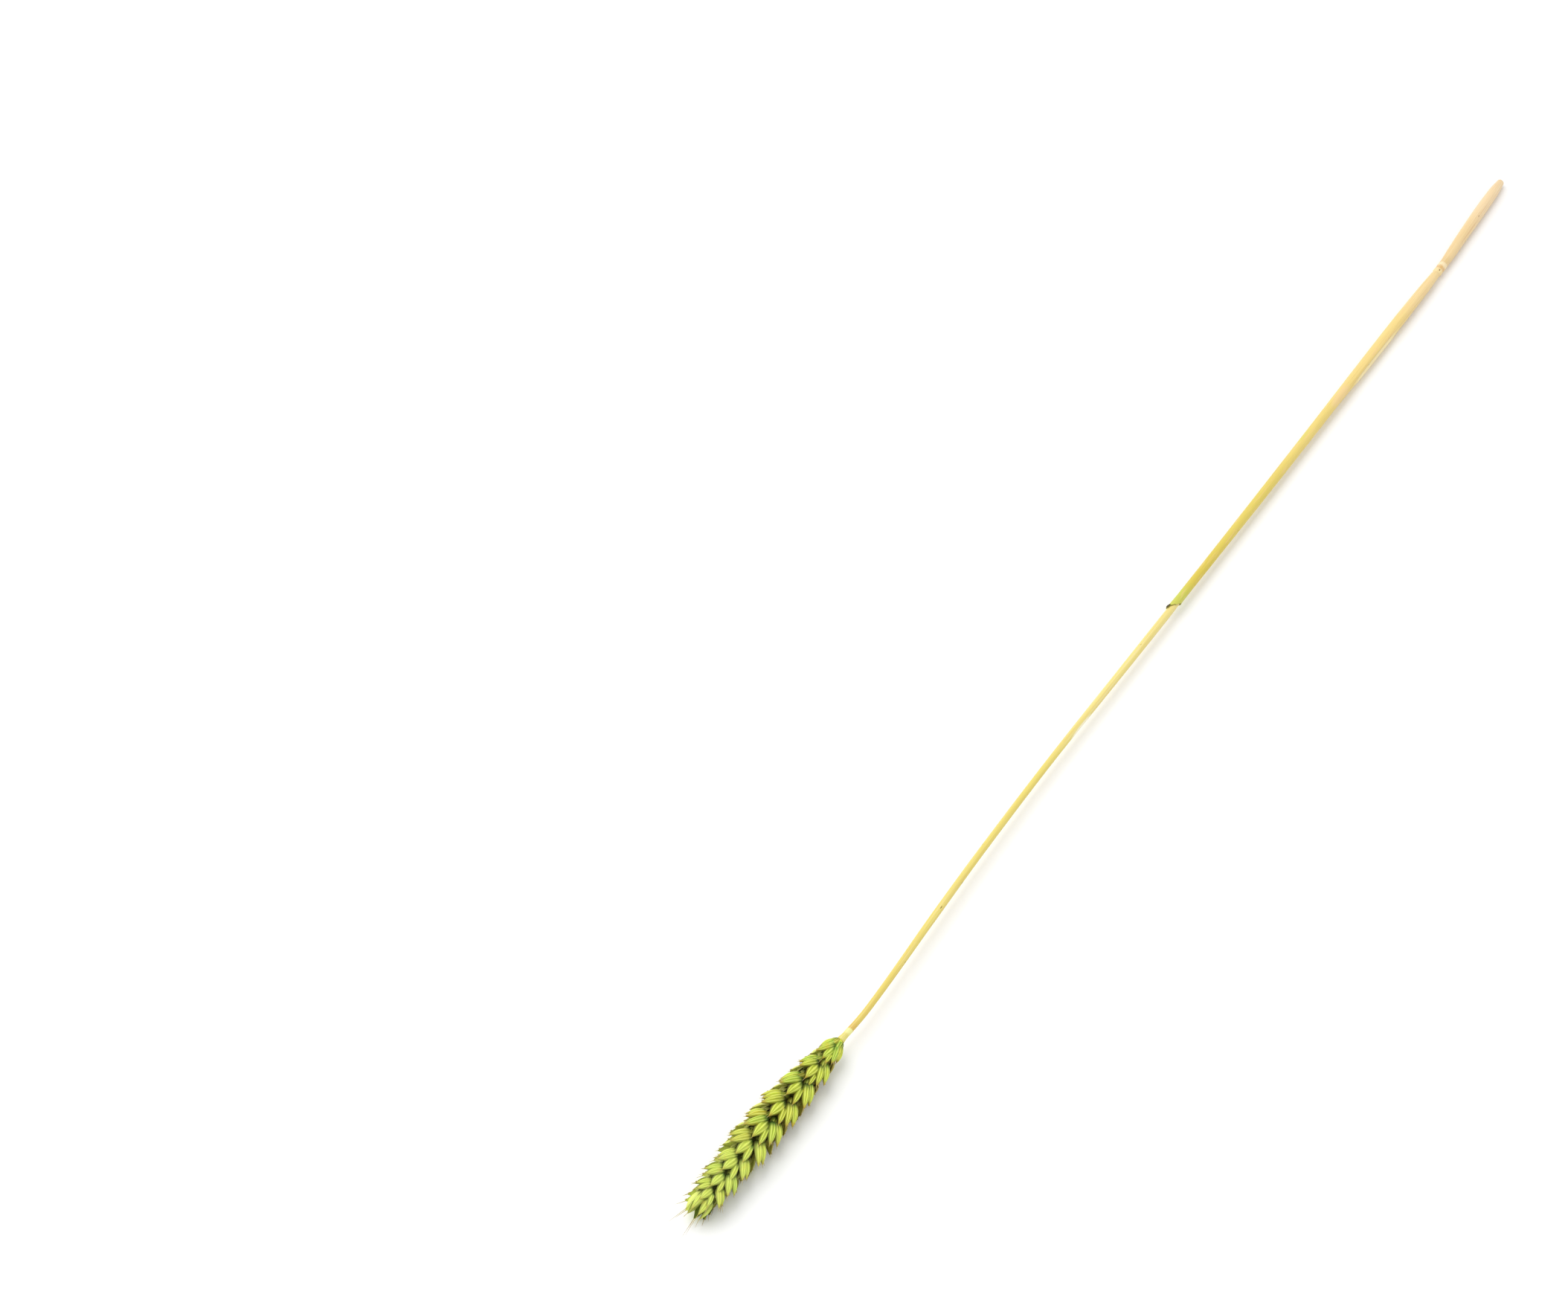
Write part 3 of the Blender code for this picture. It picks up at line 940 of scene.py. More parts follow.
@dataclass(frozen=True)
class Straw:
    """The straw in one piece: hollow stub, node, long upper internode and the collar under the ear.

    The radii, their rounding and the sizes of the rim above the node and of its pit are in mm.
    """

    line: CentreLine
    finish: StrawFinish
    sides: int = 64
    end: float = 560.6 * MM
    end_share: float = 0.5
    lumen_radius: float = 1.15 * MM
    lumen_depth: float = 66 * MM
    lumen_point: float = 0.02 * MM
    lumen_round: float = 1 * MM
    lumen_step: float = 4 * MM
    lip: float = 0.12 * MM
    lip_inside: float = 0.7
    rib_count: int = 34
    rib_height: float = 0.022 * MM
    cut_length: float = 2 * MM
    cut_slant: float = 0.5 * MM
    cut_phase: float = 0.6
    cut_fray: float = 0.12 * MM
    cut_waves: Stations = ((7, 0, 1), (19, 1, 0.6), (31, 0, 0.4))
    near_node: float = 68 * MM
    past_node: float = 83 * MM
    near_collar: float = 548 * MM
    ring_step: float = 0.35 * MM
    long_step: float = 2.0 * MM
    clearance: float = 0.01 * MM
    rounding: float = 0.5
    rim_at: float = 79.2
    rim_reach: float = 0.8
    rim_height: float = 0.06
    rim_waves: Stations = ((5, 0.8, 1), (11, 0, 0.7), (17, 2, 0.5))
    pit_angle: float = math.radians(64)
    pit_reach: float = 0.45
    pit_spread: float = 0.012
    pit_depth: float = 0.34
    radii: Stations = (
        (0, 1.6),
        (3, 1.82),
        (10, 2.28),
        (20, 2.42),
        (30, 2.48),
        (40, 2.42),
        (52, 2.26),
        (62, 2.16),
        (67, 2.02),
        (71, 1.86),
        (72.8, 1.88),
        (73.6, 1.98),
        (75.2, 1.98),
        (76.2, 1.82),
        (77.6, 1.82),
        (78.6, 1.96),
        (79.8, 1.94),
        (80.6, 1.5),
        (83, 1.44),
        (90, 1.7),
        (100, 1.86),
        (118, 1.98),
        (150, 1.84),
        (200, 1.52),
        (250, 1.4),
        (300, 1.2),
        (320, 1.18),
        (331, 1.4),
        (345, 1.4),
        (360, 1.36),
        (420, 1.16),
        (460, 1.16),
        (500, 1.22),
        (540, 1.04),
        (554.6, 1.04),
        (555.4, 1.1),
        (556.4, 1.1),
        (557.2, 1.04),
        (558.4, 1.06),
        (560.6, 1.38),
    )

    def radius(self, x: float) -> float:
        """Gives the radius at x, its corners rounded off over half a millimetre."""
        near = (-self.rounding, 0.0, self.rounding)
        return sum(straight(self.radii, x / MM + step) for step in near) / len(near) * MM

    def crinkle(self, x: float, angle: float) -> float:
        """Gives how far the ragged rim above the node stands out at x and an angle, with its small pit.

        Args:
            x: The distance from the cut end.
            angle: The angle round the straw.

        Returns:
            The height in metres, less than 0 in the pit.
        """
        off = x / MM - self.rim_at
        aside = 1 - math.cos(angle - self.pit_angle)
        rim = math.exp(-((off / self.rim_reach) ** 2)) * waves(self.rim_waves, angle)
        pit = math.exp(-((off / self.pit_reach) ** 2) - aside / self.pit_spread)
        return (rim * self.rim_height - pit * self.pit_depth) * MM

    def places(self) -> list[float]:
        """Lists where the outside's rings stand, close together at the cut, the node and the collar.

        Returns:
            The rings' distances from the cut end, in metres.
        """
        return (
            spaced(0, self.cut_length, self.ring_step)
            + spaced(self.cut_length, self.near_node, self.long_step)[1:]
            + spaced(self.near_node, self.past_node, self.ring_step)[1:]
            + spaced(self.past_node, self.near_collar, self.long_step)[1:]
            + spaced(self.near_collar, self.end, self.ring_step)[1:]
        )

    def cut(self, angle: float) -> float:
        """Gives how far the cut end stands back at an angle: it slants, and its fibres are frayed."""
        slant = 0.5 + 0.5 * math.sin(angle + self.cut_phase)
        return self.cut_slant * slant + self.cut_fray * waves(self.cut_waves, angle)

    def ring(self, skin: Skin, x: float, radius: float, inside: float, slant: float) -> list[int]:
        """Adds one ring of the straw.

        Args:
            skin: The mesh it is added to.
            x: Its distance from the cut end.
            radius: Its radius.
            inside: How much it belongs to the hollow, 0 to 1.
            slant: How much it follows the slant of the cut, 0 to 1.

        Returns:
            The ring's places in the mesh.
        """
        angles = around(self.sides)
        points, ribs = [], []
        for angle in angles:
            place = x + self.cut(angle) * slant
            rib = math.cos(self.rib_count * angle) * (1 - inside)
            swell = self.crinkle(place, angle) * (1 - inside) + rib * self.rib_height
            point = self.line.round_point(place, angle, radius + swell)
            point.z = max(point.z, self.clearance)
            points.append(point)
            ribs.append(rib * 0.5 + 0.5)
        station, covered = [x / MM] * self.sides, [inside] * self.sides
        return skin.ring(points, angles, station=station, inside=covered, rib=ribs)

    def build(self) -> bpy.types.Object:
        """Builds the straw from the bottom of its hollow, out over the cut and along to the ear.

        Returns:
            The straw.
        """
        skin = Skin()
        rows = [self.ring(skin, self.lumen_depth, self.lumen_point, 1.0, 0.0)]
        for x in reversed(spaced(0, self.lumen_depth - self.lumen_round, self.lumen_step)):
            rows.append(self.ring(skin, x, self.lumen_radius, 1.0, 1.0 if x < self.cut_length else 0.0))
        rows.append(self.ring(skin, 0.0, self.lumen_radius + self.lip, 1.0, 1.0))
        rows.append(self.ring(skin, 0.0, self.radius(0) - self.lip, self.lip_inside, 1.0))
        for x in self.places():
            rows.append(self.ring(skin, x, self.radius(x), 0.0, max(1 - x / self.cut_length, 0.0)))
        rows.append(self.ring(skin, self.end, self.radius(self.end) * self.end_share, 0.0, 0.0))
        skin.close(rows)
        straw = skin.to_object("straw_skin")
        straw.data.materials.append(self.finish.material())
        return straw


@dataclass(frozen=True)
class TornShred:
    """The dark shred that hangs on the sheath's torn end: a curved flake drawn to a point."""

    start: float = 327.2 * MM
    length: float = 2.6 * MM
    width: float = 1.5 * MM
    angle: float = math.radians(132)
    gap: float = 0.06 * MM
    lift: float = 0.2 * MM
    wall: float = 0.05 * MM
    ragged: float = 0.12 * MM
    ragged_turns: tuple[float, float] = (7.0, 3.0)
    wide_at: float = 0.22
    narrow_at: float = 0.98
    taper: float = 1.3
    steps: int = 8
    columns: int = 6

    def build(self, straw: Straw, stand_off: float, material: bpy.types.Material) -> bpy.types.Object:
        """Builds and dresses the shred.

        Args:
            straw: The straw under it.
            stand_off: How far the sheath's skin stands off the straw.
            material: What it is dressed in.

        Returns:
            The shred.
        """
        skin = Skin()
        rows = []
        aside_turn, along_turn = self.ragged_turns
        for step in range(self.steps + 1):
            share = step / self.steps
            x = self.start + self.length * share
            swell = math.sin(math.pi * (self.wide_at + (self.narrow_at - self.wide_at) * share))
            base = straw.radius(x) + stand_off + self.gap + self.lift * math.sin(math.pi * share)
            top, low = [], []
            for column in range(self.columns + 1):
                aside = (column / self.columns - 0.5) * self.width * swell**self.taper / base
                place = x + self.ragged * math.sin(aside_turn * column + along_turn * step)
                top.append(straw.line.round_point(place, self.angle + aside, base + self.wall))
                low.append(straw.line.round_point(place, self.angle + aside, base))
            rows.append(skin.ring(top + low[::-1]))
        skin.close(rows)
        shred = skin.to_object("leaf_sheath_shred")
        shred.data.materials.append(material)
        return shred


@dataclass(frozen=True)
class LeafSheath:
    """The leaf sheath: a thin skin wrapped round the straw, one margin over the other, its end torn off.

    margin_path gives the angle of the margin on top, in degrees, at distances in mm, and flare_ends are
    distances in mm. The other ends, rises and falls are angles past the margin on top, in radians.
    """

    straw: Straw
    shred: TornShred
    finish: SheathFinish
    start: float = 81 * MM
    end: float = 329.4 * MM
    sides: int = 78
    stand_off: float = 0.42 * MM
    wall: float = 0.18 * MM
    rim: float = 0.06 * MM
    rim_length: float = 2.5 * MM
    grown_in: float = 0.36 * MM
    grown_length: float = 1.5 * MM
    margin_path: Stations = (
        (81, 5),
        (110, 18),
        (130, 31),
        (150, 33),
        (172, 26),
        (200, -12),
        (240, -50),
        (329.4, -70),
    )
    overlap: float = math.radians(26)
    tuck: float = 0.24 * MM
    tuck_ends: tuple[float, float] = (1.3, 0.0)
    flare: float = 0.32 * MM
    flare_ends: tuple[float, float, float, float] = (122, 136, 164, 171)
    flare_rise: tuple[float, float] = (0.0, 0.3)
    flare_fall: tuple[float, float] = (1.5, 0.8)
    pale_rise: tuple[float, float] = (-0.1, 0.05)
    pale_fall: tuple[float, float] = (1.6, 0.9)
    tear: float = 6.4 * MM
    tear_middle: float = 0.5
    tear_waves: Stations = ((1, 2.06, 0.44), (5, 0, 0.04), (11, 0, 0.03))
    teeth: float = 0.3 * MM
    tooth_rows: Stations = ((7.3, 1), (16.1, 0.6))
    lip_curl: float = 0.06 * MM
    lip_length: float = 1.2 * MM
    rib_count: int = 30
    rib_height: float = 0.02 * MM
    foot_part: float = 4 * MM
    torn_part: float = 9 * MM
    long_step: float = 1.6 * MM
    end_step: float = 0.3 * MM

    @property
    def length(self) -> float:
        """The skin's length before its end is torn back."""
        return self.end - self.start

    def torn(self, angle: float) -> float:
        """Gives how far the torn end stands back at an angle.

        Args:
            angle: The angle round the stem.

        Returns:
            The distance in metres.
        """
        slant = self.tear_middle + waves(self.tear_waves, angle)
        jag = sum(height * abs((angle * count) % 1 - 0.5) for count, height in self.tooth_rows)
        return self.tear * slant + self.teeth * jag

    def flared(self, x: float) -> float:
        """Gives how much the covered margin stands out at x, 0 to 1."""
        start, risen, falling, end = self.flare_ends
        return smooth(start, risen, x / MM) * (1 - smooth(falling, end, x / MM))

    def sample(self, place: float, share: float) -> tuple[Vector, float, dict[str, float]]:
        """Works out one point of the skin.

        Args:
            place: Its distance from the skin's foot, before the end is torn back.
            share: How far round it is, from 0 at the margin on top to 1 at the margin under it.

        Returns:
            The point, its angle round the stem and its values for the finish.
        """
        turn = math.tau + self.overlap
        angle = math.radians(straight(self.margin_path, (self.start + place) / MM)) + turn * share
        back = self.torn(angle) * smooth(self.length - self.torn_part, self.length, place)
        x = self.start + place - back
        below = (1 - share) * turn - self.overlap
        covered = smooth(*self.tuck_ends, max(below, 0.0))
        flare = self.flared(x) * smooth(*self.flare_rise, below) * smooth(*self.flare_fall, below)
        radius = self.straw.radius(x) + self.stand_off - self.tuck * covered
        radius += self.rim * max(1 - place / self.rim_length, 0) + self.flare * flare
        radius -= self.grown_in * smooth(self.grown_length, 0, place)
        radius += self.lip_curl * smooth(self.length - self.lip_length, self.length, place)
        rib = math.cos(self.rib_count * angle)
        point = self.straw.line.round_point(x, angle, radius + rib * self.rib_height)
        return point, angle, {
            "station": x / MM,
            "edge": (self.length - place) / MM,
            "margin": share * turn * radius / MM,
            "pale": self.flared(x) * smooth(*self.pale_rise, below) * smooth(*self.pale_fall, below),
            "rib": rib * 0.5 + 0.5,
        }

    def mesh(self) -> bpy.types.Object:
        """Builds the open skin, from the margin on top round to the margin under it.

        Returns:
            The skin, without its thickness.
        """
        skin = Skin()
        torn_from = self.length - self.torn_part
        places = (
            spaced(0, self.foot_part, self.end_step)
            + spaced(self.foot_part, torn_from, self.long_step)[1:]
            + spaced(torn_from, self.length, self.end_step)[1:]
        )
        rows = []
        for place in places:
            samples = [self.sample(place, i / self.sides) for i in range(self.sides + 1)]
            points, angles, values = zip(*samples)
            named = {name: [value[name] for value in values] for name in values[0]}
            rows.append(skin.ring(points, angles, **named))
        for low, high in zip(rows, rows[1:]):
            skin.bridge(low, high, closed=False)
        return skin.to_object("leaf_sheath_skin")

    def build(self) -> list[bpy.types.Object]:
        """Builds and dresses the sheath and the shred on its torn end.

        Returns:
            The sheath and the shred.
        """
        sheath = self.mesh()
        wall = sheath.modifiers.new("Wall", "SOLIDIFY")
        wall.thickness = self.wall
        wall.offset = -1
        keep_made(sheath, self.finish.material())
        return [sheath, self.shred.build(self.straw, self.stand_off, self.finish.shred_material())]


@dataclass(frozen=True)
class Variation:
    """How far the scales differ from their rules: angles in degrees either way, the rest as shares."""

    turn: float = 5.0
    rise: float = 3.0
    keel: float = 6.0
    length: tuple[float, float] = (0.94, 1.06)
    awn: tuple[float, float] = (0.4, 1.6)


@dataclass(frozen=True)
class Scale:
    """One scale of a spikelet: angles in degrees, lengths in mm, in the spikelet's own frame.

    turn is measured from the ear's axis towards the side, rise from the spikelet's plane outwards,
    and keel is how far the scale's ridge faces the side. shade is the share of painted shade laid on the
    scale.
    """

    kind: ScaleKind
    turn: float
    rise: float
    keel: float
    along: float
    side: float
    out: float
    length: float
    width: float
    depth: float
    awn: float
    shade: float = 0.0

    def place(self, origin: Vector, axes: tuple[Vector, Vector, Vector], hand: int) -> Matrix:
        """Gives the scale's frame: +X to its tip, +Z out of its keel.

        Args:
            origin: The spikelet's root.
            axes: The ear's direction there, the spikelet's side and its outward vector.
            hand: 1 or -1, the flank that the scale stands on.

        Returns:
            The frame.
        """
        along, side, out = axes
        turn, keel = math.radians(self.turn * hand), math.radians(self.keel * hand)
        rise = math.radians(self.rise)
        forward = (along * math.cos(turn) + side * math.sin(turn)) * math.cos(rise) + out * math.sin(rise)
        ridge = squared(out * math.cos(keel) + side * math.sin(keel), forward)
        root = origin + (along * self.along + side * self.side * hand + out * self.out) * MM
        return standing(root, forward, ridge)

    def varied(self, rng: random.Random, by: Variation, opening: float, gathering: float) -> "Scale":
        """Gives the scale with its angles, length and awn drawn a little off the rule.

        Args:
            rng: The source of the draws.
            by: How far they are drawn off it.
            opening: The share of the rule's turn that the spikelet opens by.
            gathering: The share of the rule's distance from the ear's axis that the scale is rooted at.

        Returns:
            The scale.
        """
        return replace(
            self,
            turn=self.turn * opening + rng.uniform(-by.turn, by.turn),
            rise=self.rise + rng.uniform(-by.rise, by.rise),
            keel=self.keel + rng.uniform(-by.keel, by.keel),
            side=self.side * gathering,
            out=self.out * gathering,
            length=self.length * rng.uniform(*by.length),
            awn=self.awn * rng.uniform(*by.awn),
        )


@dataclass(frozen=True)
class ScaleForm:
    """The finer form of one kind of scale, in shares of its length, half width and depth."""

    kind: ScaleKind
    slimness: float
    ridges: tuple[float, ...]
    ridge_height: float
    widths: Stations
    depths: Stations = ((0, 0.36), (0.1, 0.82), (0.28, 1.0), (0.64, 0.88), (0.9, 0.40), (1.0, 0.13))
    roundness: float = 2.2
    edge_drop: float = 0.15
    hollow: float = 0.4
    hollow_ends: tuple[float, float] = (0.25, 0.8)
    bow: float = 0.06
    rings: int = 24
    crowding: float = 1.15
    top_sides: int = 24
    under_sides: int = 6
    ridge_width: float = 0.13
    ridge_rise: tuple[float, float] = (0.0, 0.25)
    ridge_fall: tuple[float, float] = (1.0, 0.85)
    plain: float = 0.42

    def ridge_at(self, across: float) -> float:
        """Gives how far a place across the scale is on a ridge, 0 to 1."""
        return max(math.exp(-(((across - ridge) / self.ridge_width) ** 2)) for ridge in self.ridges)

    def template(self) -> bpy.types.Object:
        """Builds the scale with a length, half width and depth of 1, its tip along +X.

        Returns:
            The scale.
        """
        skin = Skin()
        top = [-1 + 2 * i / self.top_sides for i in range(self.top_sides + 1)]
        under = [1 - 2 * i / self.under_sides for i in range(1, self.under_sides)]
        rows = []
        for step in range(self.rings + 1):
            along = 1 - (1 - step / self.rings) ** self.crowding
            half, deep = hermite(self.widths, along)[0], hermite(self.depths, along)[0]
            bow = self.bow * self.slimness * math.sin(math.pi * along)
            grown = smooth(*self.ridge_rise, along) * smooth(*self.ridge_fall, along)
            points = []
            for across in top:
                arch = (1 + self.edge_drop) * (1 - abs(across) ** self.roundness) - self.edge_drop
                arch += (self.ridge_at(across) - 0.5) * self.ridge_height * grown * (1 - across**4)
                points.append(Vector((along, across * half, arch * deep + bow)))
            for across in under:
                sunk = self.hollow * (1 - across**2) * smooth(*self.hollow_ends, along)
                points.append(Vector((along, across * half, (sunk - self.edge_drop) * deep + bow)))
            count = len(points)
            rows.append(
                skin.ring(
                    points,
                    along=[along] * count,
                    across=top + under,
                    ridge=[self.ridge_at(across) for across in top] + [self.plain] * len(under),
                    under=[0.0] * len(top) + [1.0] * len(under),
                )
            )
        skin.close(rows)
        return skin.to_object(f"form_{self.kind.value}_{self.kind.name.lower()}")


FINGER_WIDTHS: Stations = (
    (0, 0.26),
    (0.07, 0.6),
    (0.16, 0.83),
    (0.32, 0.97),
    (0.5, 0.96),
    (0.7, 0.79),
    (0.86, 0.47),
    (0.95, 0.25),
    (1, 0.1),
)
DIAMOND_WIDTHS: Stations = (
    (0, 0.24),
    (0.07, 0.54),
    (0.15, 0.76),
    (0.3, 0.96),
    (0.46, 1.0),
    (0.66, 0.8),
    (0.86, 0.38),
    (0.95, 0.17),
    (1, 0.07),
)

SCALE_FORMS = (
    ScaleForm(ScaleKind.OUTER_GLUME, 5.1, (-0.66, -0.24, 0.2, 0.62), 0.24, FINGER_WIDTHS),
    ScaleForm(ScaleKind.SIDE_LEMMA, 5.6, (-0.6, -0.08, 0.5), 0.26, FINGER_WIDTHS),
    ScaleForm(ScaleKind.INNER_LEMMA, 6.5, (-0.55, 0.02, 0.6), 0.26, FINGER_WIDTHS),
    ScaleForm(ScaleKind.NARROW_FLORET, 6.8, (-0.45, 0.3), 0.24, FINGER_WIDTHS),
    ScaleForm(ScaleKind.BROAD_FLORET, 6.1, (-0.6, 0.04, 0.58), 0.12, DIAMOND_WIDTHS, roundness=1.7),
    ScaleForm(ScaleKind.TIP_SCALE, 6.6, (-0.6, 0.0, 0.6), 0.2, FINGER_WIDTHS),
    ScaleForm(ScaleKind.FOOT_GLUME, 6.2, (-0.58, -0.1, 0.48), 0.22, FINGER_WIDTHS),
)


SCALE_PIECES = {
    "flank_scales": (ScaleKind.OUTER_GLUME, ScaleKind.SIDE_LEMMA, ScaleKind.INNER_LEMMA),
    "middle_scales": (ScaleKind.NARROW_FLORET, ScaleKind.BROAD_FLORET, ScaleKind.TIP_SCALE),
    "foot_scales": (ScaleKind.FOOT_GLUME,),
}


@dataclass(frozen=True)
class Awns:
    """The tapered beaks and awns that the scales' tips are drawn out into."""

    finish: AwnFinish
    thickness: float = 0.1 * MM
    taper: float = 0.7
    point: float = 0.08
    sides: int = 6
    rings: int = 8

    def template(self) -> bpy.types.Object:
        """Builds an awn with a length and a root radius of 1, along +X.

        Returns:
            The awn.
        """
        skin = Skin()
        angles = around(self.sides)
        rows = []
        for step in range(self.rings + 1):
            along = step / self.rings
            radius = (1 - along) ** self.taper * (1 - self.point) + self.point
            points = [Vector((along, radius * math.cos(a), radius * math.sin(a))) for a in angles]
            rows.append(skin.ring(points, along=[along] * self.sides))
        skin.close(rows)
        return skin.to_object("awn_form_0")


@dataclass
class Placed:
    """Where one repeated piece stands: its frame, its size along each axis, its kind and its own values."""

    frame: Matrix
    size: tuple[float, float, float]
    kind: int
    tint: float
    lower: float
    shade: float = 0.0


def seedbed(name: str, placed: Sequence[Placed]) -> bpy.types.Object:
    """Makes the points that repeated pieces are set on.

    Args:
        name: The object's name.
        placed: The pieces.

    Returns:
        A mesh of loose points that hold each piece's turn, size, kind and values.
    """
    mesh = bpy.data.meshes.new(name)
    mesh.from_pydata([piece.frame.translation for piece in placed], [], [])
    turns = [part for piece in placed for part in piece.frame.to_quaternion()]
    sizes = [part for piece in placed for part in piece.size]
    mesh.attributes.new("turned", "QUATERNION", "POINT").data.foreach_set("value", turns)
    mesh.attributes.new("size", "FLOAT_VECTOR", "POINT").data.foreach_set("vector", sizes)
    for value, kind in (("kind", "INT"), ("tint", "FLOAT"), ("lower", "FLOAT"), ("shade", "FLOAT")):
        numbers = [getattr(piece, value) for piece in placed]
        mesh.attributes.new(value, kind, "POINT").data.foreach_set("value", numbers)
    made = bpy.data.objects.new(name, mesh)
    bpy.context.scene.collection.objects.link(made)
    return made


def setting_tree() -> bpy.types.NodeTree:
    """Builds the tree that sets a form on every point, bends it a little and rests it on the surface.

    What would reach below the surface is pressed together just above it and keeps some thickness.

    Returns:
        The tree.
    """
    tree = GeometryTree("Set forms on points")
    forms = tree.input("Forms", "Collection")
    wander = tree.input("Wander", "Float")
    fineness = tree.input("Fineness", "Float")
    surface = tree.input("Surface", "Float")
    material = tree.input("Material", "Material")
    separate = {"Collection": forms, "Separate Children": True, "Reset Children": True}
    choices = tree.node("GeometryNodeCollectionInfo", {}, separate)
    placed = tree.node(
        "GeometryNodeInstanceOnPoints",
        {},
        {
            "Points": tree.geometry,
            "Instance": choices,
            "Pick Instance": True,
            "Instance Index": tree.named("kind", "INT"),
            "Rotation": tree.named("turned", "QUATERNION"),
            "Scale": tree.named("size", "FLOAT_VECTOR"),
        },
    )
    real = tree.node("GeometryNodeRealizeInstances", {}, {"Geometry": placed})
    position = tree.node("GeometryNodeInputPosition")
    along, tint = tree.named("along", "FLOAT"), tree.named("tint", "FLOAT")
    pattern = tree.node(
        "ShaderNodeTexNoise",
        {"noise_dimensions": "4D"},
        {"Vector": position, "W": tint * 40.0, "Scale": fineness, "Detail": 1.0},
        "Color",
    )
    centred = tree.vector("SUBTRACT", pattern, (0.5, 0.5, 0.5))
    reach = tree.node("ShaderNodeVectorMath", {"operation": "SCALE"}, {0: centred, "Scale": wander * along})
    bent = tree.node("GeometryNodeSetPosition", {}, {"Geometry": real, "Offset": reach})
    _, _, height = tree.parts(position)
    sinking = ((height - SOFTNESS) / SOFTNESS).least(0.0).math("EXPONENT")
    lowest = {"X": -FAR, "Y": -FAR, "Z": sinking * SOFTNESS + surface}
    rested = tree.vector("MAXIMUM", position, tree.node("ShaderNodeCombineXYZ", {}, lowest))
    resting = tree.node("GeometryNodeSetPosition", {}, {"Geometry": bent, "Position": rested})
    return tree.give(resting, material)


@dataclass(frozen=True)
class Bending:
    """How repeated pieces are bent out of their form, and how far above the surface they stay."""

    wander: float
    fineness: float
    surface: float

    def inputs(self) -> dict[str, object]:
        """Gives the values for the inputs of the tree that sets the pieces."""
        return {"Wander": self.wander, "Fineness": self.fineness, "Surface": self.surface}


@dataclass(frozen=True)
class Tooth:
    """The short tooth beside a flank scale's tip, which makes it forked; shares are of the scale's size."""

    turn: tuple[float, float] = (4, 16)
    along: tuple[float, float] = (0.86, 0.92)
    length: tuple[float, float] = (0.5 * MM, 1.0 * MM)
    side: float = 0.34
    out: float = 0.12
    width: float = 0.26 * MM
    depth: float = 0.13 * MM

    def place(self, body: Placed, rng: random.Random, hand: int) -> Placed:
        """Places the tooth.

        Args:
            body: The scale that it stands on.
            rng: The source of the draws.
            hand: 1 or -1, the side of the scale's tip.

        Returns:
            The tooth.
        """
        length, half, deep = body.size
        turn = Matrix.Rotation(math.radians(rng.uniform(*self.turn)) * hand, 4, "Z")
        along = length * rng.uniform(*self.along)
        root = Matrix.Translation((along, half * self.side * hand, deep * self.out))
        size = (rng.uniform(*self.length), self.width, self.depth)
        return Placed(body.frame @ root @ turn, size, 0, body.tint, body.lower)


@dataclass(frozen=True)
class Axis:
    """The ear's axis: a knobby stalk that the scales stand out of, with a short neck at the collar."""

    sides: int = 24
    step: float = 0.5 * MM
    width: float = 2.3 * MM
    depth: float = 2.1 * MM
    foot: float = 1.5 * MM
    swell: float = 8 * MM
    end_share: float = 0.45
    bumps: float = 0.16
    neck: float = 1.5 * MM
    neck_slimming: float = 0.3
    knob_step: float = 4.3 * MM
    # covered and bared: the axis is finished like a scale's root, covered far along it and barer at the
    # neck, so it takes the root green and the painted shade of the gaps.
    covered: float = 0.14
    bared: float = 0.4
    ridge: float = 0.4
    tint: float = 0.5

    def grown(self, full: float, share: float) -> float:
        """Gives a width or a depth on its way from the foot to its full size."""
        return self.foot + (full - self.foot) * share


@dataclass(frozen=True)
class TipSpikelet:
    """The spikelet at the ear's tip: the sizes of its scales in mm, and how they stand round the axis."""

    length: float = 8.6
    width: float = 3.0
    depth: float = 1.3
    opening: float = math.radians(11)
    root_back: float = 2.0 * MM
    root_out: float = 0.9 * MM
    awns: tuple[float, ...] = (9.0, 3.0, 7.0, 2.0, 8.0, 4.0)

    def scale(self, awn: float) -> Scale:
        """Gives the rule of one of its scales, which are placed one by one."""
        return Scale(ScaleKind.TIP_SCALE, 0, 0, 0, 0, 0, 0, self.length, self.width, self.depth, awn)


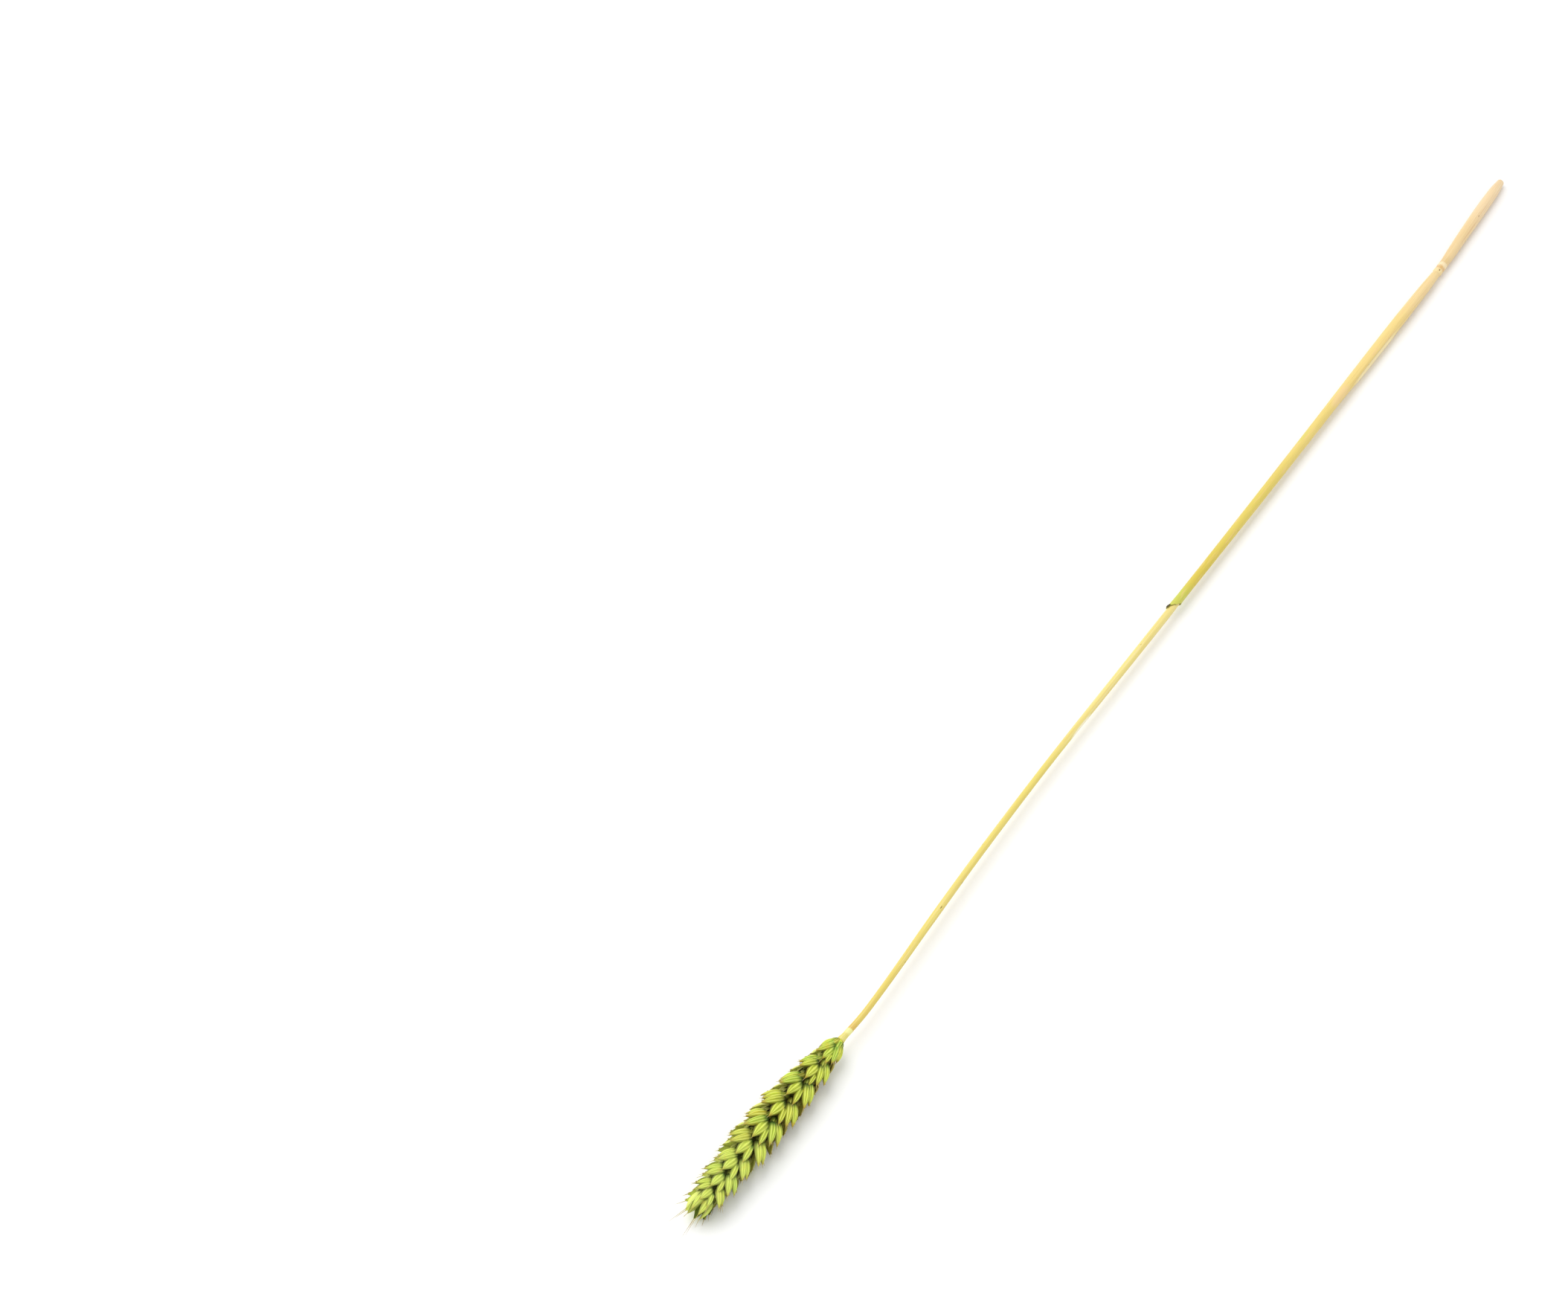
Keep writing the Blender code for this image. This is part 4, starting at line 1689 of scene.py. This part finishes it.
@dataclass(frozen=True)
class Ear:
    """The ear: two rows of spikelets and one at the tip, standing on a slim axis."""

    line: CentreLine
    scale_finish: ScaleFinish
    awns: Awns
    axis: Axis = Axis()
    tooth: Tooth = Tooth()
    tip: TipSpikelet = TipSpikelet()
    variation: Variation = Variation()
    scale_bending: Bending = Bending(wander=0.5 * MM, fineness=160.0, surface=0.02 * MM)
    awn_bending: Bending = Bending(wander=1.0 * MM, fineness=90.0, surface=0.04 * MM)
    start: float = 560.2 * MM
    roll: float = math.radians(24)
    count: int = 18
    small_from: int = 12
    places: Stations = ((0, 562.0), (4, 579.3), (8, 597.0), (12, 612.9), (15, 622.8), (18, 631.2))
    sizes: Stations = ((0, 0.82), (3, 0.95), (6, 1.0), (9, 1.0), (13, 0.86), (17, 0.68))
    openings: Stations = ((0, 0.66), (2, 0.8), (4, 0.92), (7, 1.0), (17, 1.0))
    gatherings: Stations = ((0, 0.35), (1, 0.5), (3, 0.85), (5, 1.0), (17, 1.0))
    awns_lengthen_at: int = 10
    awn_growth: float = 2.4
    awn_root: float = 0.985
    flank: tuple[Scale, ...] = (
        Scale(ScaleKind.OUTER_GLUME, 44, 3, 72, -0.6, 0.9, 0.5, 8.2, 3.2, 1.4, 0.5),
        Scale(ScaleKind.SIDE_LEMMA, 39, 9, 42, 0.0, 0.8, 1.3, 9.1, 3.4, 1.4, 0.7),
        Scale(ScaleKind.INNER_LEMMA, 32, 14, 18, 1.0, 0.6, 1.8, 9.6, 3.3, 1.3, 1.0),
    )
    middle: tuple[Scale, ...] = (
        Scale(ScaleKind.NARROW_FLORET, 13, 15, 14, 3.2, 0.5, 1.8, 8.4, 2.8, 1.2, 1.0),
        Scale(ScaleKind.BROAD_FLORET, -8, 16, -8, 2.2, -0.2, 1.8, 8.7, 4.15, 1.5, 1.6),
        Scale(ScaleKind.NARROW_FLORET, 19, 9, 22, -1.2, 0.3, 1.35, 6.6, 2.7, 1.1, 0.4, 0.55),
        Scale(ScaleKind.NARROW_FLORET, -24, 9, -26, -1.4, -0.4, 1.35, 6.8, 2.7, 1.1, 0.4, 0.55),
    )
    foot: tuple[Scale, ...] = (
        Scale(ScaleKind.FOOT_GLUME, 17, 2, 80, -1.6, 1.6, 0.35, 7.4, 2.9, 1.2, 0.3, 0.55),
        Scale(ScaleKind.FOOT_GLUME, 9, -6, 84, 1.4, 1.8, -0.2, 6.4, 2.6, 1.0, 0.2, 0.55),
    )

    def frame(self, x: float, rank: Rank) -> tuple[Vector, tuple[Vector, Vector, Vector]]:
        """Gives the centre of the ear at x, with its direction, side and outward vector for a row.

        Args:
            x: The distance from the cut end.
            rank: The row of spikelets.

        Returns:
            The centre and the three unit vectors.
        """
        along, level, up = self.line.frame(x)
        out = (up * math.cos(self.roll) + level * math.sin(self.roll)) * rank.value
        return self.line.point(x), (along, out.cross(along), out)

    def place(self, number: float) -> float:
        """Gives how far from the cut end a spikelet is rooted; past the last one the axis ends."""
        return hermite(self.places, number)[0] * MM

    def spikelet(self, number: int) -> list[tuple[Optional[Placed], Placed]]:
        """Places the scales of one spikelet; even numbers stand in the upper row.

        Args:
            number: The spikelet's number from the foot of the ear.

        Returns:
            Each scale with its awn, and the teeth, which have no scale of their own.
        """
        rank = Rank.UPPER if number % 2 == 0 else Rank.LOWER
        origin, axes = self.frame(self.place(number), rank)
        size, opening = straight(self.sizes, number), straight(self.openings, number)
        gathering = straight(self.gatherings, number)
        late = max(number - self.awns_lengthen_at, 0) / (self.count - self.awns_lengthen_at)
        flank = self.flank if number < self.small_from else self.flank[1:]
        rules = [(rule, hand) for rule in flank for hand in (1, -1)] + [(rule, 1) for rule in self.middle]
        rules += [(rule, hand) for rule in self.foot for hand in (1, -1)]
        made = []
        for index, (rule, hand) in enumerate(rules):
            rng = random.Random(SEED + 100 * number + index)
            scale = rule.varied(rng, self.variation, opening, gathering)
            lower = -float(hand) if rank is Rank.LOWER else 0.0
            awn = scale.awn * (1 + self.awn_growth * late)
            body, point = self.pair(scale.place(origin, axes, hand), scale, size, awn, rng.random(), lower)
            made.append((body, point))
            if rule in flank:
                made.append((None, self.tooth.place(body, rng, hand)))
        return made

    def pair(
        self, frame: Matrix, scale: Scale, size: float, awn: float, tint: float, lower: float
    ) -> tuple[Placed, Placed]:
        """Places one scale and the awn on its tip.

        Args:
            frame: The scale's frame.
            scale: Its sizes.
            size: The spikelet's share of full size.
            awn: The awn's length in mm.
            tint: The scale's own shade, 0 to 1.
            lower: In the lower row 1 towards +Y and -1 towards -Y, in the upper row 0; the finish paints
                shade on the +Y side and light on the -Y side.

        Returns:
            The scale and the awn.
        """
        length, half, deep = (value * size * MM for value in (scale.length, scale.width / 2, scale.depth))
        body = Placed(frame, (length, half, deep), scale.kind.value, tint, lower, scale.shade)
        root = frame @ Matrix.Translation((length * self.awn_root, 0, 0))
        reach = awn * MM + length * (1 - self.awn_root)
        return body, Placed(root, (reach, self.awns.thickness, self.awns.thickness), 0, tint, lower)

    def tip_pairs(self) -> list[tuple[Placed, Placed]]:
        """Places the scales of the spikelet at the tip, which stand round the axis, with their awns.

        Returns:
            Each scale with its awn.
        """
        origin, (along, side, out) = self.frame(self.place(self.count) - self.tip.root_back, Rank.UPPER)
        made = []
        for index, awn in enumerate(self.tip.awns):
            turn = math.tau * (index + 0.5) / len(self.tip.awns)
            away = out * math.cos(turn) + side * math.sin(turn)
            forward = along * math.cos(self.tip.opening) + away * math.sin(self.tip.opening)
            ridge = squared(away, forward)
            frame = standing(origin + ridge * self.tip.root_out, forward, ridge)
            lower = math.copysign(1.0, math.sin(turn)) if math.cos(turn) < 0 else 0.0
            tint = random.Random(SEED - index).random()
            made.append(self.pair(frame, self.tip.scale(awn), 1.0, awn, tint, lower))
        return made

    def core(self) -> bpy.types.Object:
        """Builds the axis.

        Returns:
            The axis.
        """
        skin, axis, angles = Skin(), self.axis, around(self.axis.sides)
        last = self.place(self.count)
        rows = []
        for x in spaced(self.start, last, axis.step):
            origin, (_, side, out) = self.frame(x, Rank.UPPER)
            share = min((x - self.start) / axis.swell, 1.0)
            ended = min((last - x) / axis.swell + axis.end_share, 1.0)
            neck = 1 - axis.neck_slimming * smooth(self.start + axis.neck, self.start, x)
            knob = 1 - axis.bumps * (0.5 + 0.5 * math.cos(math.tau * (x - self.start) / axis.knob_step))
            width = axis.grown(axis.width, share) * ended * neck * knob
            depth = axis.grown(axis.depth, share) * ended * neck
            bare = axis.covered + axis.bared * smooth(self.start + 3 * axis.neck, self.start, x)
            values = {"along": bare, "across": 0.0, "ridge": axis.ridge, "tint": axis.tint}
            points = [origin + side * width * math.cos(a) + out * depth * math.sin(a) for a in angles]
            rows.append(skin.ring(points, **{name: [value] * axis.sides for name, value in values.items()}))
        skin.close(rows)
        return skin.to_object("ear_axis")

    def build(self) -> list[bpy.types.Object]:
        """Builds and dresses every piece of the ear.

        Returns:
            The three pieces of scales, the awns and the axis.
        """
        pairs = [pair for number in range(self.count) for pair in self.spikelet(number)] + self.tip_pairs()
        bodies = [body for body, _ in pairs if body]
        forms = collect("scale forms", [form.template() for form in SCALE_FORMS])
        awn_forms = collect("awn forms", [self.awns.template()])
        tree = setting_tree()
        dressing = self.scale_finish.material()
        pieces = []
        for name, kinds in SCALE_PIECES.items():
            bed = seedbed(name, [body for body in bodies if ScaleKind(body.kind) in kinds])
            run_tree(bed, tree, self.scale_bending.inputs() | {"Forms": forms, "Material": dressing})
            pieces.append(bed)
        bed = seedbed("awns", [awn for _, awn in pairs])
        dry = self.awns.finish.material()
        run_tree(bed, tree, self.awn_bending.inputs() | {"Forms": awn_forms, "Material": dry})
        core = self.core()
        core.data.materials.append(dressing)
        discard(forms)
        discard(awn_forms)
        return [*pieces, bed, core]


def collect(name: str, objects: Iterable[bpy.types.Object]) -> bpy.types.Collection:
    """Moves objects into a new collection of the scene.

    Args:
        name: The collection's name.
        objects: The objects.

    Returns:
        The collection.
    """
    made = bpy.data.collections.new(name)
    bpy.context.scene.collection.children.link(made)
    for obj in objects:
        bpy.context.scene.collection.objects.unlink(obj)
        made.objects.link(obj)
    return made


def discard(collection: bpy.types.Collection) -> None:
    """Removes a collection and its objects.

    Args:
        collection: The collection.
    """
    for obj in list(collection.objects):
        bpy.data.objects.remove(obj)
    bpy.data.collections.remove(collection)


@dataclass(frozen=True)
class Studio:
    """A plain pale floor, soft light and the camera that looks at the stem."""

    floor_size: float = 6.0
    floor_colour: Colour = (0.95, 0.95, 0.95, 1.0)
    floor_roughness: float = 0.9
    sky_colour: Colour = (1.0, 1.0, 1.0, 1.0)
    sky_strength: float = 0.84
    key_power: float = 8.2
    key_size: float = 1.1
    key_place: tuple[float, float, float] = (0.22, -0.57, 1.1)
    key_target: tuple[float, float, float] = (0.15, 0.0, 0.0)
    camera_place: tuple[float, float, float] = (0.64905, 0.24388, 0.6580)
    camera_right: tuple[float, float, float] = (-0.5373, 0.8434, 0.0)
    camera_forward: tuple[float, float, float] = (-0.5964, -0.3799, -0.7071)
    lens: float = 58.34
    sensor: float = 36.0
    nearest: float = 0.01

    def build(self) -> None:
        """Builds the floor, the lights and the camera."""
        self.floor()
        self.sky()
        self.key_light()
        self.camera()

    def floor(self) -> None:
        """Lays the floor."""
        skin = Skin()
        half = self.floor_size / 2
        low = skin.ring([Vector((-half, -half, 0)), Vector((half, -half, 0))])
        high = skin.ring([Vector((-half, half, 0)), Vector((half, half, 0))])
        skin.bridge(low, high, closed=False)
        floor = skin.to_object("floor")
        tree = MaterialTree("pale floor")
        finish = tree.finish(base_color=self.floor_colour, roughness=self.floor_roughness)
        floor.data.materials.append(finish)

    def sky(self) -> None:
        """Lights everything evenly."""
        world = bpy.data.worlds.new("soft light")
        world.use_nodes = True
        background = world.node_tree.nodes["Background"]
        background.inputs["Color"].default_value = self.sky_colour
        background.inputs["Strength"].default_value = self.sky_strength
        bpy.context.scene.world = world

    def key_light(self) -> None:
        """Hangs a large soft light over the far side of the stem."""
        light = bpy.data.lights.new("key", "AREA")
        light.energy = self.key_power
        light.size = self.key_size
        holder = bpy.data.objects.new("key", light)
        holder.location = self.key_place
        aim = Vector(self.key_target) - Vector(self.key_place)
        holder.rotation_euler = aim.to_track_quat("-Z", "Y").to_euler()
        bpy.context.scene.collection.objects.link(holder)

    def camera(self) -> None:
        """Sets up the camera at the photograph's angle."""
        camera = bpy.data.cameras.new("camera")
        camera.lens = self.lens
        camera.sensor_width = self.sensor
        camera.clip_start = self.nearest
        holder = bpy.data.objects.new("camera", camera)
        right, forward = Vector(self.camera_right), Vector(self.camera_forward)
        turned = Matrix((right, right.cross(forward), -forward)).transposed().to_4x4()
        holder.matrix_world = Matrix.Translation(self.camera_place) @ turned
        bpy.context.scene.collection.objects.link(holder)
        bpy.context.scene.camera = holder
        bpy.context.scene.view_settings.view_transform = "Standard"


def main() -> None:
    """Builds the stem's pieces in order and the studio round them."""
    logging.basicConfig(level=logging.INFO, format="%(name)s: %(message)s")
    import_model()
    line = CentreLine()
    straw = Straw(line, StrawFinish())
    hand_over(straw.build(), "straw")
    for piece in LeafSheath(straw, TornShred(), SheathFinish()).build():
        hand_over(piece, "leaf_sheath")
    for piece in Ear(line, ScaleFinish(), Awns(AwnFinish())).build():
        hand_over(piece, "ear")
    Studio().build()


if __name__ == "__main__":
    main()
